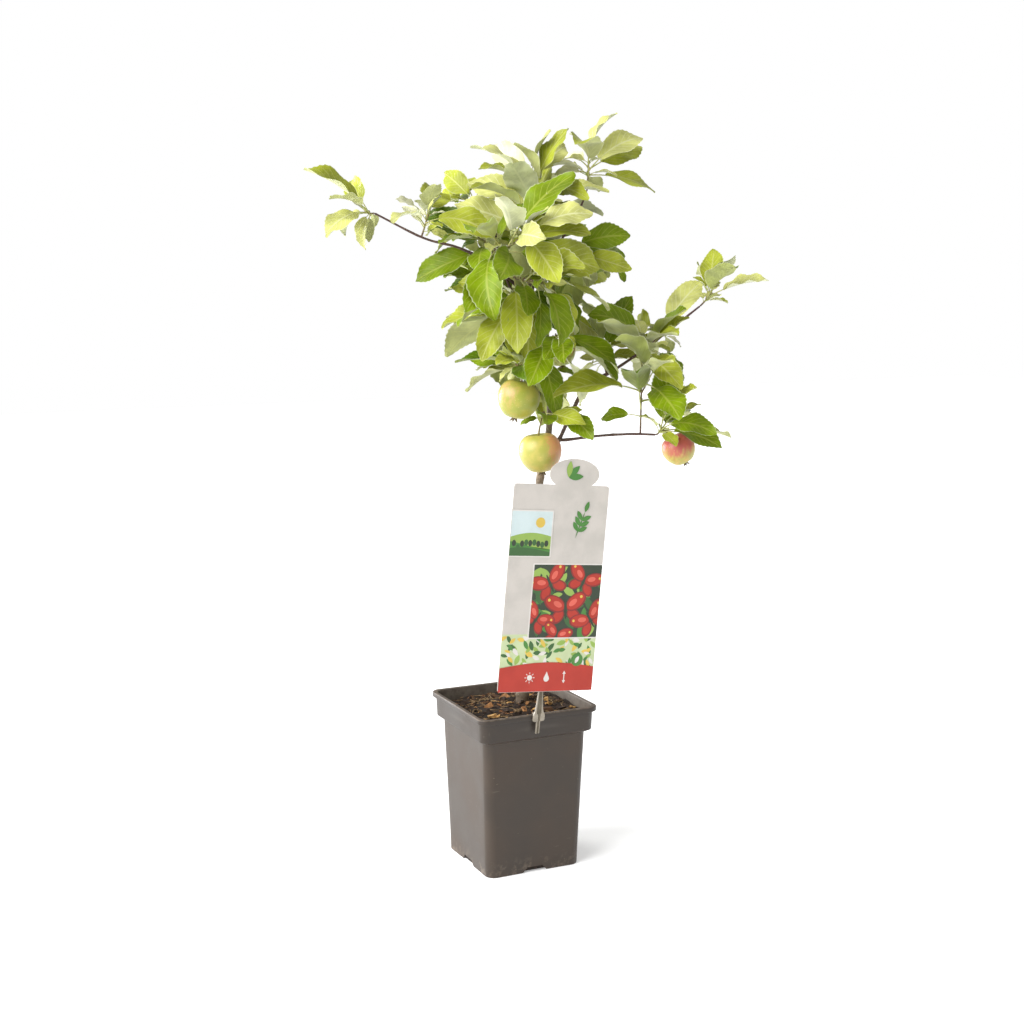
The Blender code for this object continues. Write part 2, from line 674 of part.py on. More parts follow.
def leaf_solid(leaf, extra=0.0):
    """Closed leaf over three-cornered sections: two edges, raised by the fold, and the midrib below them.

    It is fatter by extra where it is only tried for room.
    """
    rings = []
    for t in LEAF_STATIONS:
        point, across, up = leaf_section(leaf, t)
        if t <= 0:
            radius = STALK_RADIUS + extra
            half, lift, keel = 0.87 * radius, 0.5 * radius, radius
        else:
            side = leaf["width"] / 2 * leaf_width(t) + extra
            half, lift = side * math.cos(leaf["fold"]), side * math.sin(leaf["fold"])
            keel = LEAF_THICKNESS / 2 + extra
        rings.append([point - half * across + lift * up, point - keel * up, point + half * across + lift * up])
    tip, _, _ = leaf_section(leaf, 1.0)
    return loft(np.array(rings), tip)


def past_stem(solid, leaf):
    """The leaf's solid from a little way up its stalk, because its foot stands in the shoot."""
    points, faces = solid
    points = points.copy()
    place, _, _ = leaf_section(leaf, STALK_TRIED)
    points[0:3] = place + (points[0:3] - points[0:3].mean(0))
    return points, faces


def draw_leaf(rng, foot, heading, rise, length):
    """One leaf's sizes and turns, from seeded draws round the given ones."""
    heading = heading + rng.normal(0, HEADING_SPREAD)
    rise = rise + rng.normal(0, RISE_SPREAD)
    along = direction(heading, rise)
    across = np.array([-math.sin(heading), math.cos(heading), 0.0])
    up = np.cross(along, across)
    roll = rng.normal(0, ROLL_SPREAD) + LIGHT_TURN * float(np.dot(np.cross(up, LIGHT), along))
    across, up = turn_about(along, roll, across), turn_about(along, roll, up)
    blade = length * rng.uniform(*BLADE_SHARE)
    return {
        "foot": foot,
        "axes": (along, across, up),
        "stalk": length * rng.uniform(*STALK_SHARE),
        "blade": blade,
        "width": blade * rng.uniform(*WIDTH_SHARE),
        "lift": rng.uniform(*LIFT),
        "bend": rng.uniform(*BEND),
        "fold": rng.uniform(*FOLD),
        "twist": rng.normal(0, TWIST_SPREAD),
        "tone": rng.random(),
    }


def leaf_on(crown, rng, name, shoot, out, share, spin, length, heart, reach):
    """A leaf at a share of a shoot, or None where every try touches something or leaves the space."""
    point = point_along(shoot, share)
    side = np.cross(out, LEAF_GUIDE)
    side /= np.linalg.norm(side)
    for attempt in range(LEAF_TRIES):
        radial = turn_about(out, spin + rng.normal(0, SPIN_SPREAD) * (1 + attempt), side)
        opening = math.radians(OPENING_FOOT + (OPENING_TIP - OPENING_FOOT) * share)
        aim = out * math.cos(opening) + radial * math.sin(opening)
        aim[2] += AIM_RAISE
        aim /= np.linalg.norm(aim)
        leaf = draw_leaf(rng, point, math.atan2(aim[1], aim[0]), math.asin(aim[2]) * RISE_SHARE, length)
        solid = leaf_solid(leaf, LEAF_CLEARANCE)
        far = np.linalg.norm(solid[0] - heart, axis=1).max()
        if far < reach and crown.clear(past_stem(solid, leaf), name, True) and crown.clear(solid, name, False):
            return leaf
    return None


def mass_stem(lines, name):
    """Path of a mass's stem from its limb, its direction and its radius at the foot."""
    mass = MASSES[name]
    path, radii = lines[mass.limb]
    out = direction(math.radians(mass.heading), math.radians(mass.rise))
    foot = point_along(path, mass.share)
    steps = np.linspace(0, 1, STEM_POINTS)[:, None]
    stem = foot + steps * mass.stem * out + steps**2 * np.array([0, 0, STEM_SAG]) * mass.stem
    radius = min(STEM_RADIUS, STEM_LIMB_SHARE * float(point_along(radii[:, None], mass.share)[0]))
    return stem, out, radius


def grow_mass(crown, lines, name):
    """Shoots and leaves of one mass: leaves round its stem, then side twigs that end in a few more."""
    mass = MASSES[name]
    stem, out, radius = mass_stem(lines, name)
    rng = np.random.default_rng(mass.seed)
    heart = point_along(stem, 0.5)
    reach = SPACE + mass.stem / 2
    shoots = [(stem, np.linspace(radius, SHOOT_TIP_RADIUS, STEM_POINTS))]
    leaves = []

    def try_leaf(shoot, way, share, spin, length):
        leaf = leaf_on(crown, rng, name, shoot, way, share, spin, length, heart, reach)
        if leaf:
            leaves.append(leaf)
            crown.add(leaf_solid(leaf), name)

    spin = rng.uniform(0, 2 * math.pi)
    first = BARE_SHARE["long" if mass.stem > LONG_STEM else "short"]
    for i in range(mass.leaves):
        share = first + (1 - first) * (i + 0.5) / mass.leaves
        length = mass.leaf_length * (1 - TIP_SHORTER * max(0.0, share - TIP_SHARE) / (1 - TIP_SHARE))
        try_leaf(stem, out, share, spin + i * GOLDEN_ANGLE, length)
    for j in range(mass.twigs):
        start = point_along(stem, TWIG_PLACE[0] + TWIG_PLACE[1] * (j + rng.random()) / mass.twigs)
        way = direction(spin + (j + 0.5) * GOLDEN_ANGLE * TWIG_TURN, rng.uniform(*TWIG_RISE))
        steps = np.linspace(0, 1, TWIG_POINTS)[:, None]
        twig = start + steps * TWIG_LENGTH * rng.uniform(*TWIG_LENGTH_SHARE) * way
        room = TWIG_RADIUS + LEAF_CLEARANCE
        whole = tube(twig, [room] * TWIG_POINTS, 4)
        outer = tube(twig[1:], [room] * (TWIG_POINTS - 1), 4)
        if not (crown.clear(whole, name, False) and crown.clear(outer, name, True)):
            continue
        shoots.append((twig, np.linspace(TWIG_RADIUS, TWIG_TAPER * TWIG_RADIUS, TWIG_POINTS)))
        crown.add(tube(twig[1:], [TWIG_RADIUS] * (TWIG_POINTS - 1), 4), name)
        for i in range(TWIG_LEAVES):
            share = TWIG_LEAF_PLACE + (1 - TWIG_LEAF_PLACE) * i / TWIG_LEAVES
            try_leaf(twig, way, share, spin + i * GOLDEN_ANGLE, TWIG_LEAF_SHARE * mass.leaf_length)
    return shoots, leaves


def apple_axis(lean):
    """Unit vector up the apple's core, which leans to the right."""
    return np.array([-math.sin(math.radians(lean)), 0.0, math.cos(math.radians(lean))])


def apple_solid(apple, extra=0.0):
    """Closed turned apple: nearly round, a little wider above its middle and flat at its poles."""
    axis = apple_axis(apple.lean)
    side = np.array([axis[2], 0.0, -axis[0]])
    other = np.cross(axis, side)
    angles = np.arange(APPLE_STEPS)[:, None] * 2 * math.pi / APPLE_STEPS
    radius = apple.radius + extra
    rings = []
    for k in reversed(range(1, APPLE_RINGS)):
        polar = math.pi * k / APPLE_RINGS
        wide = radius * math.sin(polar) * (1 + APPLE_SHOULDER * math.cos(polar))
        high = APPLE_HEIGHT * radius * math.cos(polar)
        around = np.cos(angles) * side + np.sin(angles) * other
        rings.append(np.array(apple.centre) + high * axis + wide * around)
    return loft(np.array(rings))


def apple_stalk(lines, apple):
    """Curved stalk from the tip of the mass's stem into the top of the apple."""
    axis = apple_axis(apple.lean)
    top = np.array(apple.centre) + APPLE_STALK_FOOT * apple.radius * axis
    stem, _, _ = mass_stem(lines, apple.mass)
    middle = (stem[-1] + top) / 2 + APPLE_STALK_BOW * axis
    t = np.linspace(0, 1, APPLE_STALK_POINTS)[:, None]
    return (1 - t) ** 2 * stem[-1] + 2 * t * (1 - t) * middle + t**2 * top


def grow_crown(lines):
    """All masses: limbs, apples and stems take their room first, then each mass grows its leaves."""
    crown = Crown()
    for path, radii in lines.values():
        crown.add(tube(path, radii + GAP, 8), "limbs")
    for apple in APPLES.values():
        crown.add(apple_solid(apple, APPLE_CLEARANCE), apple.mass)
        room = [APPLE_STALK_RADIUS + GAP] * APPLE_STALK_POINTS
        crown.add(tube(apple_stalk(lines, apple), room, 4), apple.mass)
    for name in MASSES:
        stem, _, radius = mass_stem(lines, name)
        crown.add(tube(stem, [radius + GAP] * STEM_POINTS, 4), name)
    return {name: grow_mass(crown, lines, name) for name in MASSES}


def make_masses(parts, lines, guards, turn):
    """One object for each mass: its stem, cut clear of its limb, joined with its twigs, leaves and apple."""
    foliage = make_material("leaves", (0.21, 0.29, 0.05), 0.5)
    for name, (shoots, leaves) in grow_crown(lines).items():
        pieces = bpy.data.collections.new(f"{name}_pieces")
        bpy.context.scene.collection.children.link(pieces)
        solids = [tube(path, radii, SHOOT_SIDES) for path, radii in shoots[1:]]
        solids += [leaf_solid(leaf) for leaf in leaves]
        for apple in APPLES.values():
            if apple.mass == name:
                stalk = apple_stalk(lines, apple)
                solids += [apple_solid(apple), tube(stalk, [APPLE_STALK_RADIUS] * APPLE_STALK_POINTS, 4)]
        for k, solid in enumerate(solids):
            mesh_object(f"{name}_piece_{k}", solid, pieces)
        stem_path, stem_radii = shoots[0]
        obj = mesh_object(name, tube(stem_path, stem_radii, SHOOT_SIDES), parts, foliage)
        boolean(obj, "DIFFERENCE", guards[MASSES[name].limb])
        boolean(obj, "UNION", pieces, "MANIFOLD")
        tidy_union(obj)
        remove_collection(pieces)
        obj.parent = turn


def make_tree(parts, cutters):
    """Limbs and foliage, turned together about the pot's upright axis."""
    turn = bpy.data.objects.new("tree_turn", None)
    parts.objects.link(turn)
    turn.rotation_euler = (0.0, 0.0, TREE_TURN)
    lines = {name: limb_line(name) for name in LIMBS}
    guards = {}
    for name in LIMBS:
        guards[name] = limb_object(name, lines[name], cutters, extra=GAP)
        guards[name].name = f"{name}_guard"
        hide_cutter(guards[name])
    make_limbs(parts, lines, guards, turn)
    make_masses(parts, lines, guards, turn)
    for guard in guards.values():
        bpy.data.objects.remove(guard, do_unlink=True)


def main():
    parts, cutters = start_scene()
    make_pot(parts, cutters)
    make_soil(parts)
    make_label_card(parts)
    make_label_stem(parts)
    make_tree(parts, cutters)


main()
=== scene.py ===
"""Looks of a young apple tree in a square nursery pot, with ripening apples and a label clipped to the rim.

Lengths are in metres. The tree grows here by the same rule as its solids, in axes of its own that are
turned TREE_TURN about Z: the same limbs, stems, seeds and leaves. It is carried on to toothed and veined
blades, small leaves, buds, stalks, bark relief and apples with cavities and sepals. Pot, soil and label are
modelled anew over their solids.
"""
import math
from collections import namedtuple

import bpy
import numpy as np
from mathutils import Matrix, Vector
from mathutils.bvhtree import BVHTree


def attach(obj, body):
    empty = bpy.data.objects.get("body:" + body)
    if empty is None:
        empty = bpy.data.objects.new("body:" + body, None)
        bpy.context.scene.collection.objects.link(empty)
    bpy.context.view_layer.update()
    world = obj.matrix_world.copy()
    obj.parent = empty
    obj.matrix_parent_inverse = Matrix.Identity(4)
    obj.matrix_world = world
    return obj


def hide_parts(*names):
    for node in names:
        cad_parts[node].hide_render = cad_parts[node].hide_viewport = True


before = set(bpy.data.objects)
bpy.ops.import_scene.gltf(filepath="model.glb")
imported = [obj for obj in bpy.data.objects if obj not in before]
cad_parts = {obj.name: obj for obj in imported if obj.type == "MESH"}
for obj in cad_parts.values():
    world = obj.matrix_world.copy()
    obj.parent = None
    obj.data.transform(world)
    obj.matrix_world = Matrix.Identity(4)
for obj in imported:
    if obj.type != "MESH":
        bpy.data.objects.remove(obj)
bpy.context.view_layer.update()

MM = 0.001
TAU = 2 * math.pi
GAP = 0.0003
SEEDS = {"soil": 7, "chips": 23, "fibres": 31, "print": 4, "bark": 12, "foliage": 8}

# Pot: a thin square tub with rounded corners, a rim band and a turned lip
POT_HEIGHT = 0.200
POT_LIP_HALF = 0.0775
POT_BAND_HALF = 0.0742
POT_BAND_FOOT_HALF = 0.0733
POT_BODY_HALF = 0.0668
POT_FOOT_HALF = 0.0610
POT_CORNER = 0.0115
POT_WALL = 0.0016
POT_FLOOR = 0.0020
POT_BAND_HEIGHT = 0.0295
POT_SHOULDER = 0.0035
POT_LIP_HEIGHT = 0.0063
POT_ROUNDING = 0.0011
POT_BOW = 0.0005
POT_CREASE = 38
NOTCH_FOOT_WIDTH = 0.032
NOTCH_TOP_WIDTH = 0.020
NOTCH_HEIGHT = 0.0065
NOTCH_DEPTH = 0.014

# Soil: fills the pot and rises a little round the trunk's foot
SOIL_LEVEL = POT_HEIGHT - 0.009
SOIL_DIP = 0.004

# Label: a card with an oval head, on a flat stem that is clipped over the lip
CARD_WIDTH = 0.124
CARD_HEIGHT = 0.244
CARD_THICKNESS = 0.0007
CARD_CORNER = 0.004
CARD_CENTRE = (0.0139, 0.3490)
CARD_LEAN = math.radians(5.2)
HEAD_CENTRE = (0.0147, 0.1345)
HEAD_HALF_WIDTH = 0.0325
HEAD_HALF_HEIGHT = 0.018
STEM_THICKNESS = 0.0014
STEM_FOOT = (-0.0043, POT_HEIGHT)
STEM_WIDTH = 0.0065
STEM_TOP = 0.150
CLIP_WIDTH = 0.0145
CLIP_DROP = 0.008
CLIP_RISE = 0.002
HOOK_LEG = 0.0085
HOOK_WIDTH = 0.009
NECK_WIDTH = 0.0108
NECK_FOOT = 0.004
NECK_TOP = 0.026
TAIL_WIDTH = 0.005
TAIL_DROP = 0.0225

# Tree
TREE_TURN = math.radians(-25.5)
GOLDEN_ANGLE = math.radians(137.5)
ROOT_FLARE = 0.0028
FLARE_SHARE = 0.05
LIMB_POINTS = 15
PATH_STEPS = 24
SIDE_GUIDE = (0.31, 0.17, 0.93)

Limb = namedtuple("Limb", "carriers foot_radius tip_radius points")
LIMBS = {
    "trunk": Limb((), 0.0058, 0.0046, [
        (0.0110, 0.012, SOIL_LEVEL + GAP), (0.0113, 0.012, 0.205), (0.018, 0.008, 0.320),
        (0.026, 0.004, 0.420), (0.0365, 0.000, 0.499)]),
    "leader": Limb(("trunk",), 0.0040, 0.0019, [
        (0.0366, 0.000, 0.4993), (0.0425, -0.002, 0.530), (0.0400, -0.003, 0.583), (0.0180, -0.002, 0.624),
        (0.0100, 0.000, 0.661), (0.0180, 0.002, 0.694), (0.0290, 0.002, 0.728)]),
    "right_bough": Limb(("trunk", "leader"), 0.0027, 0.0012, [
        (0.0345, 0.000, 0.486), (0.054, 0.001, 0.515), (0.068, 0.002, 0.545), (0.088, 0.003, 0.581),
        (0.116, 0.004, 0.596), (0.161, 0.006, 0.627), (0.220, 0.008, 0.673)]),
    "lower_right_bough": Limb(("right_bough",), 0.0019, 0.0012, [
        (0.054, 0.001, 0.515), (0.067, -0.004, 0.5165), (0.102, -0.010, 0.5215), (0.140, -0.014, 0.5240),
        (0.168, -0.017, 0.5235)]),
    "left_bough": Limb(("leader",), 0.0019, 0.0011, [
        (0.0150, 0.001, 0.687), (-0.027, -0.004, 0.722), (-0.064, -0.008, 0.7405),
        (-0.104, -0.010, 0.7515), (-0.160, -0.012, 0.7795)]),
    "upper_left_bough": Limb(("leader",), 0.0018, 0.0012, [
        (0.0105, 0.0005, 0.668), (-0.007, 0.013, 0.702), (-0.019, 0.020, 0.747), (-0.025, 0.024, 0.782)]),
    "upper_right_bough": Limb(("leader",), 0.0018, 0.0011, [
        (0.0245, 0.002, 0.712), (0.038, 0.007, 0.724), (0.055, 0.011, 0.748), (0.073, 0.014, 0.774),
        (0.086, 0.016, 0.806)]),
    "back_bough": Limb(("leader",), 0.0021, 0.0012, [
        (0.0150, -0.001, 0.632), (0.020, 0.030, 0.655), (0.024, 0.052, 0.692), (0.026, 0.068, 0.730)]),
}

# A mass of foliage: its limb and the share of the limb's length where its stem leaves, the stem's heading
# and rise in degrees and its length, how many leaves the stem and how many side twigs it has, the length of
# a leaf, its seed, and its tone from pale young growth (0) to leaves in the shade (4). The tone by mass is
# partly painted light and shade: paler on the crown's lit outside and top, darker in its shaded heart
Mass = namedtuple("Mass", "limb share heading rise stem leaves twigs leaf_length seed tone")
MASSES = {
    "left_tip_leaves": Mass("left_bough", 1.0, 172, -7, 0.010, 6, 0, 0.066, 37044, 1.6),
    "left_mid_leaves": Mass("left_bough", 0.7, -26, 67, 0.021, 4, 0, 0.067, 96180, 1.6),
    "left_inner_leaves": Mass("left_bough", 0.36, -52, 4, 0.096, 11, 1, 0.078, 36932, 2.1),
    "left_under_leaves": Mass("left_bough", 0.2, -48, -20, 0.079, 12, 1, 0.073, 19210, 2.5),
    "right_tip_leaves": Mass("right_bough", 1.0, -2, 43, 0.016, 5, 0, 0.059, 90230, 1.9),
    "right_mid_leaves": Mass("right_bough", 0.78, 81, 11, 0.013, 5, 0, 0.058, 50137, 1.8),
    "right_spur_leaves": Mass("right_bough", 0.5, 113, 54, 0.030, 13, 1, 0.062, 26059, 1.9),
    "right_front_leaves": Mass("right_bough", 0.66, -8, 14, 0.015, 6, 0, 0.067, 67480, 2.5),
    "lower_spur_leaves": Mass("lower_right_bough", 0.84, 77, 85, 0.093, 8, 1, 0.081, 72817, 2.6),
    "lower_tip_leaves": Mass("lower_right_bough", 1.0, 0, 34, 0.008, 8, 0, 0.065, 4026, 2.8),
    "top_leaves": Mass("leader", 1.0, 113, 74, 0.081, 16, 2, 0.075, 16650, 1.4),
    "upper_right_tip_leaves": Mass("upper_right_bough", 1.0, -15, 86, 0.027, 8, 0, 0.066, 84129, 1.5),
    "upper_right_side_leaves": Mass("upper_right_bough", 0.45, -13, -60, 0.031, 11, 1, 0.068, 96583, 2.3),
    "upper_left_tip_leaves": Mass("upper_left_bough", 1.0, 123, 3, 0.051, 12, 1, 0.065, 2258, 2.5),
    "upper_left_side_leaves": Mass("upper_left_bough", 0.62, -142, 20, 0.039, 9, 0, 0.067, 9196, 3.0),
    "front_leaves": Mass("leader", 0.8, -110, -6, 0.040, 9, 1, 0.062, 51112, 2.0),
    "mid_right_leaves": Mass("leader", 0.66, 74, 39, 0.048, 10, 1, 0.092, 23520, 3.0),
    "mid_left_leaves": Mass("leader", 0.58, 310, 1, 0.062, 7, 1, 0.071, 89821, 2.4),
    "low_right_leaves": Mass("leader", 0.4, 76, 8, 0.043, 10, 0, 0.071, 63590, 3.0),
    "low_left_leaves": Mass("leader", 0.43, -147, 0, 0.033, 9, 0, 0.066, 25592, 2.7),
    "low_spur_leaves": Mass("leader", 0.15, -112, 29, 0.022, 5, 0, 0.065, 65785, 2.9),
    "back_tip_leaves": Mass("back_bough", 1.0, 129, 32, 0.040, 9, 1, 0.071, 79471, 2.4),
    "back_side_leaves": Mass("back_bough", 0.5, 53, 26, 0.059, 9, 0, 0.073, 4135, 2.6),
    "back_left_leaves": Mass("leader", 0.72, 132, -5, 0.037, 10, 1, 0.070, 20116, 2.6),
}
SPACE = 0.105
STEM_RADIUS = 0.0015
SHOOT_TIP_RADIUS = 0.0009
STEM_LIMB_SHARE = 0.85
STEM_POINTS = 4
STEM_SAG = 0.18
LONG_STEM = 0.03
BARE_SHARE = {"long": 0.25, "short": 0.5}
TIP_SHARE = 0.75
TIP_SHORTER = 0.3
TWIG_PLACE = (0.35, 0.45)
TWIG_TURN = 1.7
TWIG_RISE = (0.1, 0.8)
TWIG_LENGTH = 0.020
TWIG_LENGTH_SHARE = (0.8, 1.4)
TWIG_POINTS = 3
TWIG_LEAVES = 3
TWIG_LEAF_PLACE = 0.7
TWIG_LEAF_SHARE = 0.85
TWIG_RADIUS = 0.0011
TWIG_TAPER = 0.75

# Leaf: a stalk that widens to a folded blade, which arches, twists and turns its face to the light
STALK_RADIUS = 0.0009
LEAF_THICKNESS = 0.0010
LEAF_STATIONS = (-1.0, 0.0, 0.27, 0.64)
LEAF_CLEARANCE = 0.0006
LEAF_TRIES = 8
LEAF_GUIDE = (0.13, 0.21, 0.97)
SPIN_SPREAD = 0.3
OPENING_FOOT = 78
OPENING_TIP = 40
AIM_RAISE = 0.15
RISE_SHARE = 0.8
STALK_TRIED = -0.62
LIGHT = np.array([0.0, -0.86, 0.5])
LIGHT_TURN = 0.75

# The spread or range of each seeded draw for a leaf; its blade is a share of the mass's leaf length, its
# stalk too, its width a share of its own blade, and the rest are angles in radians
HEADING_SPREAD = 0.22
RISE_SPREAD = 0.28
ROLL_SPREAD = 0.36
TWIST_SPREAD = 0.35
BLADE_SHARE = (0.78, 1.16)
STALK_SHARE = (0.22, 0.42)
WIDTH_SHARE = (0.46, 0.60)
LIFT = (0.05, 0.45)
BEND = (0.5, 1.5)
FOLD = (0.10, 0.60)

# An apple: the mass that bears it, its centre, its radius and the lean of its axis to the right, in degrees
Apple = namedtuple("Apple", "mass centre radius lean")
APPLES = {
    "apple_left": Apple("low_left_leaves", (0.0062, -0.030, 0.5667), 0.0246, -12),
    "apple_low": Apple("low_spur_leaves", (0.0315, -0.032, 0.5046), 0.0250, 6),
    "apple_right": Apple("lower_tip_leaves", (0.1944, -0.020, 0.5070), 0.0195, 28),
    "apple_hidden": Apple("low_right_leaves", (0.0560, 0.014, 0.6190), 0.0180, 8),
}
APPLE_STEPS = 10
APPLE_RINGS = 7
APPLE_HEIGHT = 1.02
APPLE_SHOULDER = 0.09
APPLE_CLEARANCE = 0.0008
APPLE_STALK_RADIUS = 0.0009
APPLE_STALK_POINTS = 6
APPLE_STALK_FOOT = 0.80
APPLE_STALK_BOW = 0.004

# Foliage: what the looks add to the solids' growth
TEETH = 13
SMALL_TEETH = 6
BLADE_ACROSS = np.array([-1.0, -0.6, 0.0, 0.6, 1.0])
BLADE_ENDS = (0.012, 0.985)
RIPPLES = (1.5, 3.0)
FOLD_FLATTER = 0.25
STALK_ENDS = (-0.99, 0.06)
STALK_HALF = 0.00075
STALK_TAPER = np.array([1.5, 1.1, 1.0, 0.95, 0.9, 0.8, 0.5])
USUAL_BLADE = 0.055
TOOTH_DEPTH = 0.045
TOOTH_FORWARD = 0.45
BLADE_THICKNESS = 0.0005
VEIN_SWEEP = 0.30
VEINS = 8
TAPER_FROM = 0.72
TAPER_SHARE = 0.30
RIPPLE_SHARE = 0.06
QUILT_SHARE = 0.011
MIDRIB_DEPTH = 0.0005
MIDRIB_HALF = 0.2
OWN_TONE_SPREAD = 2.2
SMALL_LEAVES = 5
SMALL_LEAF_SHARE = 0.45
SMALL_LEAF_PLACE = (0.2, 0.95)
TIP_LEAVES = 4
TIP_LEAF_SHARE = 0.30
TIP_LEAF_PLACE = (0.93, 1.0)
SMALL_SPREAD = (0.8, 1.25)
SMALL_REACH = 0.9
BLADE_CREASE = 70
SHOOT_POINTS = 14
SHOOT_SIDES = 8
END_BUD = 0.0042
SIDE_BUD = (0.0026, 0.0036)
PALER = {SMALL_LEAF_SHARE: 0.4, TIP_LEAF_SHARE: 1.4}


def seeded(name):
    """The source of random draws for one part of the looks."""
    return np.random.default_rng(SEEDS[name])


def srgb(hex_colour):
    """Linear colour, with alpha 1, of an sRGB hex value such as #a0b030."""
    parts = [int(hex_colour[k:k + 2], 16) / 255 for k in (1, 3, 5)]
    linear = [c / 12.92 if c <= 0.04045 else ((c + 0.055) / 1.055) ** 2.4 for c in parts]
    return (*linear, 1.0)


def adjust(thing, **settings):
    """Sets the properties of something of Blender's by their names, and gives it back."""
    for name, value in settings.items():
        setattr(thing, name, value)
    return thing


def add_node(tree, kind, settings, sockets):
    """Adds a node, sets its properties, and sets or links its inputs by name or number."""
    new = adjust(tree.nodes.new(kind), **settings)
    for name, value in sockets.items():
        if isinstance(value, bpy.types.NodeSocket):
            tree.links.new(value, new.inputs[name])
        else:
            new.inputs[name].default_value = value
    return new


class Finish:
    """A material in the making: a ground colour, coats of others over it and its shader's constants."""

    def __init__(self, name, ground, centre=(0.0, 0.0, 0.0), **constants):
        self.material = bpy.data.materials.new(name)
        self.material.use_nodes = True
        self.tree = self.material.node_tree
        self.shader = self.tree.nodes["Principled BSDF"]
        for socket, value in constants.items():
            self.shader.inputs[socket.replace("_", " ")].default_value = value
        self.colour, self.centre = srgb(ground), centre
        self.place = self.coords((1.0, 1.0, 1.0))

    def node(self, kind, settings, sockets, output=0):
        """One output of a new node."""
        return add_node(self.tree, kind, settings, sockets).outputs[output]

    def coords(self, stretch):
        """Object coordinates about the finish's centre, stretched."""
        place = self.node("ShaderNodeTexCoord", {}, {}, "Object")
        moved = self.node("ShaderNodeVectorMath", {"operation": "SUBTRACT"}, {0: place, 1: self.centre})
        return self.node("ShaderNodeMapping", {}, {"Vector": moved, "Scale": stretch})

    def apart(self, vector):
        """The three numbers of a vector."""
        return add_node(self.tree, "ShaderNodeSeparateXYZ", {}, {0: vector}).outputs

    def surface(self):
        """The two values of a piece's own UV map."""
        return self.apart(self.node("ShaderNodeUVMap", {"uv_map": "surface"}, {}))

    def noise(self, coords, wavelength, detail=3.0, rough=0.55):
        """Noise round 0.5 whose blots are a wavelength across, in metres."""
        sockets = {"Vector": coords, "Scale": 1.0 / wavelength, "Detail": detail, "Roughness": rough}
        return self.node("ShaderNodeTexNoise", {}, sockets, "Fac")

    def cells(self, coords, wavelength):
        """Distance to the nearest of scattered points that are a wavelength apart, as a share of it."""
        sockets = {"Vector": coords, "Scale": 1.0 / wavelength}
        return self.node("ShaderNodeTexVoronoi", {}, sockets, "Distance")

    def remap(self, value, low, high, to_low=0.0, to_high=1.0):
        """Value moved from one range to another on a smooth step, and held at its ends."""
        sockets = {0: value, 1: low, 2: high, 3: to_low, 4: to_high}
        return self.node("ShaderNodeMapRange", {"interpolation_type": "SMOOTHSTEP"}, sockets)

    def maths(self, operation, first, second=0.0):
        """One sum of two values."""
        return self.node("ShaderNodeMath", {"operation": operation}, {0: first, 1: second})

    def times(self, first, second):
        """The product of two values."""
        return self.maths("MULTIPLY", first, second)

    def coat(self, share, colour):
        """Lays a hex colour over the colours so far, by a share."""
        sockets = {0: share, 6: self.colour, 7: srgb(colour)}
        self.colour = self.node("ShaderNodeMix", {"data_type": "RGBA"}, sockets, 2)

    def done(self, rough, height, depth):
        """The material, with its roughness and a relief of a height from 0 to 1 times a depth in metres."""
        relief = self.node("ShaderNodeBump", {}, {"Height": height, "Distance": depth, "Strength": 1.0})
        for socket, value in (("Base Color", self.colour), ("Roughness", rough), ("Normal", relief)):
            self.tree.links.new(value, self.shader.inputs[socket])
        return self.material


def shade_of(hex_colour, share):
    """The hex colour that is lighter or darker by a share."""
    values = [min(255, round(int(hex_colour[k:k + 2], 16) * share)) for k in (1, 3, 5)]
    return "#" + "".join(f"{value:02x}" for value in values)


def unit(vectors):
    """Each vector divided by its own length."""
    return vectors / np.linalg.norm(vectors, axis=-1, keepdims=True)


def circle(side, other, count):
    """Points evenly round a unit circle, cos(a) side + sin(a) other, in one plane or in each of several."""
    a = (np.arange(count) * TAU / count)[:, None]
    return np.cos(a) * side[..., None, :] + np.sin(a) * other[..., None, :]


def swing(x, y, angle):
    """x and y turned about the origin."""
    cos, sin = math.cos(angle), math.sin(angle)
    return cos * x - sin * y, sin * x + cos * y


def skin(rings, first, last):
    """Closed skin over rings of points: quads between the rings and a fan of triangles to each end point."""
    count, size = rings.shape[:2]
    points = np.vstack([first, rings.reshape(-1, 3), last])
    here = 1 + np.arange(count * size).reshape(count, size)
    beside = np.roll(here, -1, axis=1)
    quads = np.stack([here[:-1], beside[:-1], beside[1:], here[1:]], -1).reshape(-1, 4)
    foot = np.stack([np.zeros(size, int), beside[0], here[0]], -1)
    tip = np.stack([np.full(size, len(points) - 1), here[-1], beside[-1]], -1)
    return points, [quads, foot, tip]


def capped(rings):
    """Closed skin over rings, with a low cap at each end."""
    return skin(rings, rings[0].mean(0), rings[-1].mean(0))


def join(shapes):
    """Several shapes, each its points and its arrays of faces, as one."""
    shifts = np.cumsum([0] + [len(points) for points, _ in shapes[:-1]])
    faces = [array + shift for (_, arrays), shift in zip(shapes, shifts) for array in arrays]
    return np.vstack([points for points, _ in shapes]), faces


def face_count(shape):
    """How many faces a shape has."""
    return sum(len(array) for array in shape[1])


def mesh_of(name, shape, materials=()):
    """A mesh from a shape, with its materials."""
    points, faces = shape
    mesh = bpy.data.meshes.new(name)
    mesh.from_pydata(points.tolist(), [], [face for array in faces for face in array.tolist()])
    for material in materials:
        mesh.materials.append(material)
    return mesh


def put(name, data, **settings):
    """Puts a new object in the scene."""
    obj = adjust(bpy.data.objects.new(name, data), **settings)
    bpy.context.scene.collection.objects.link(obj)
    return obj


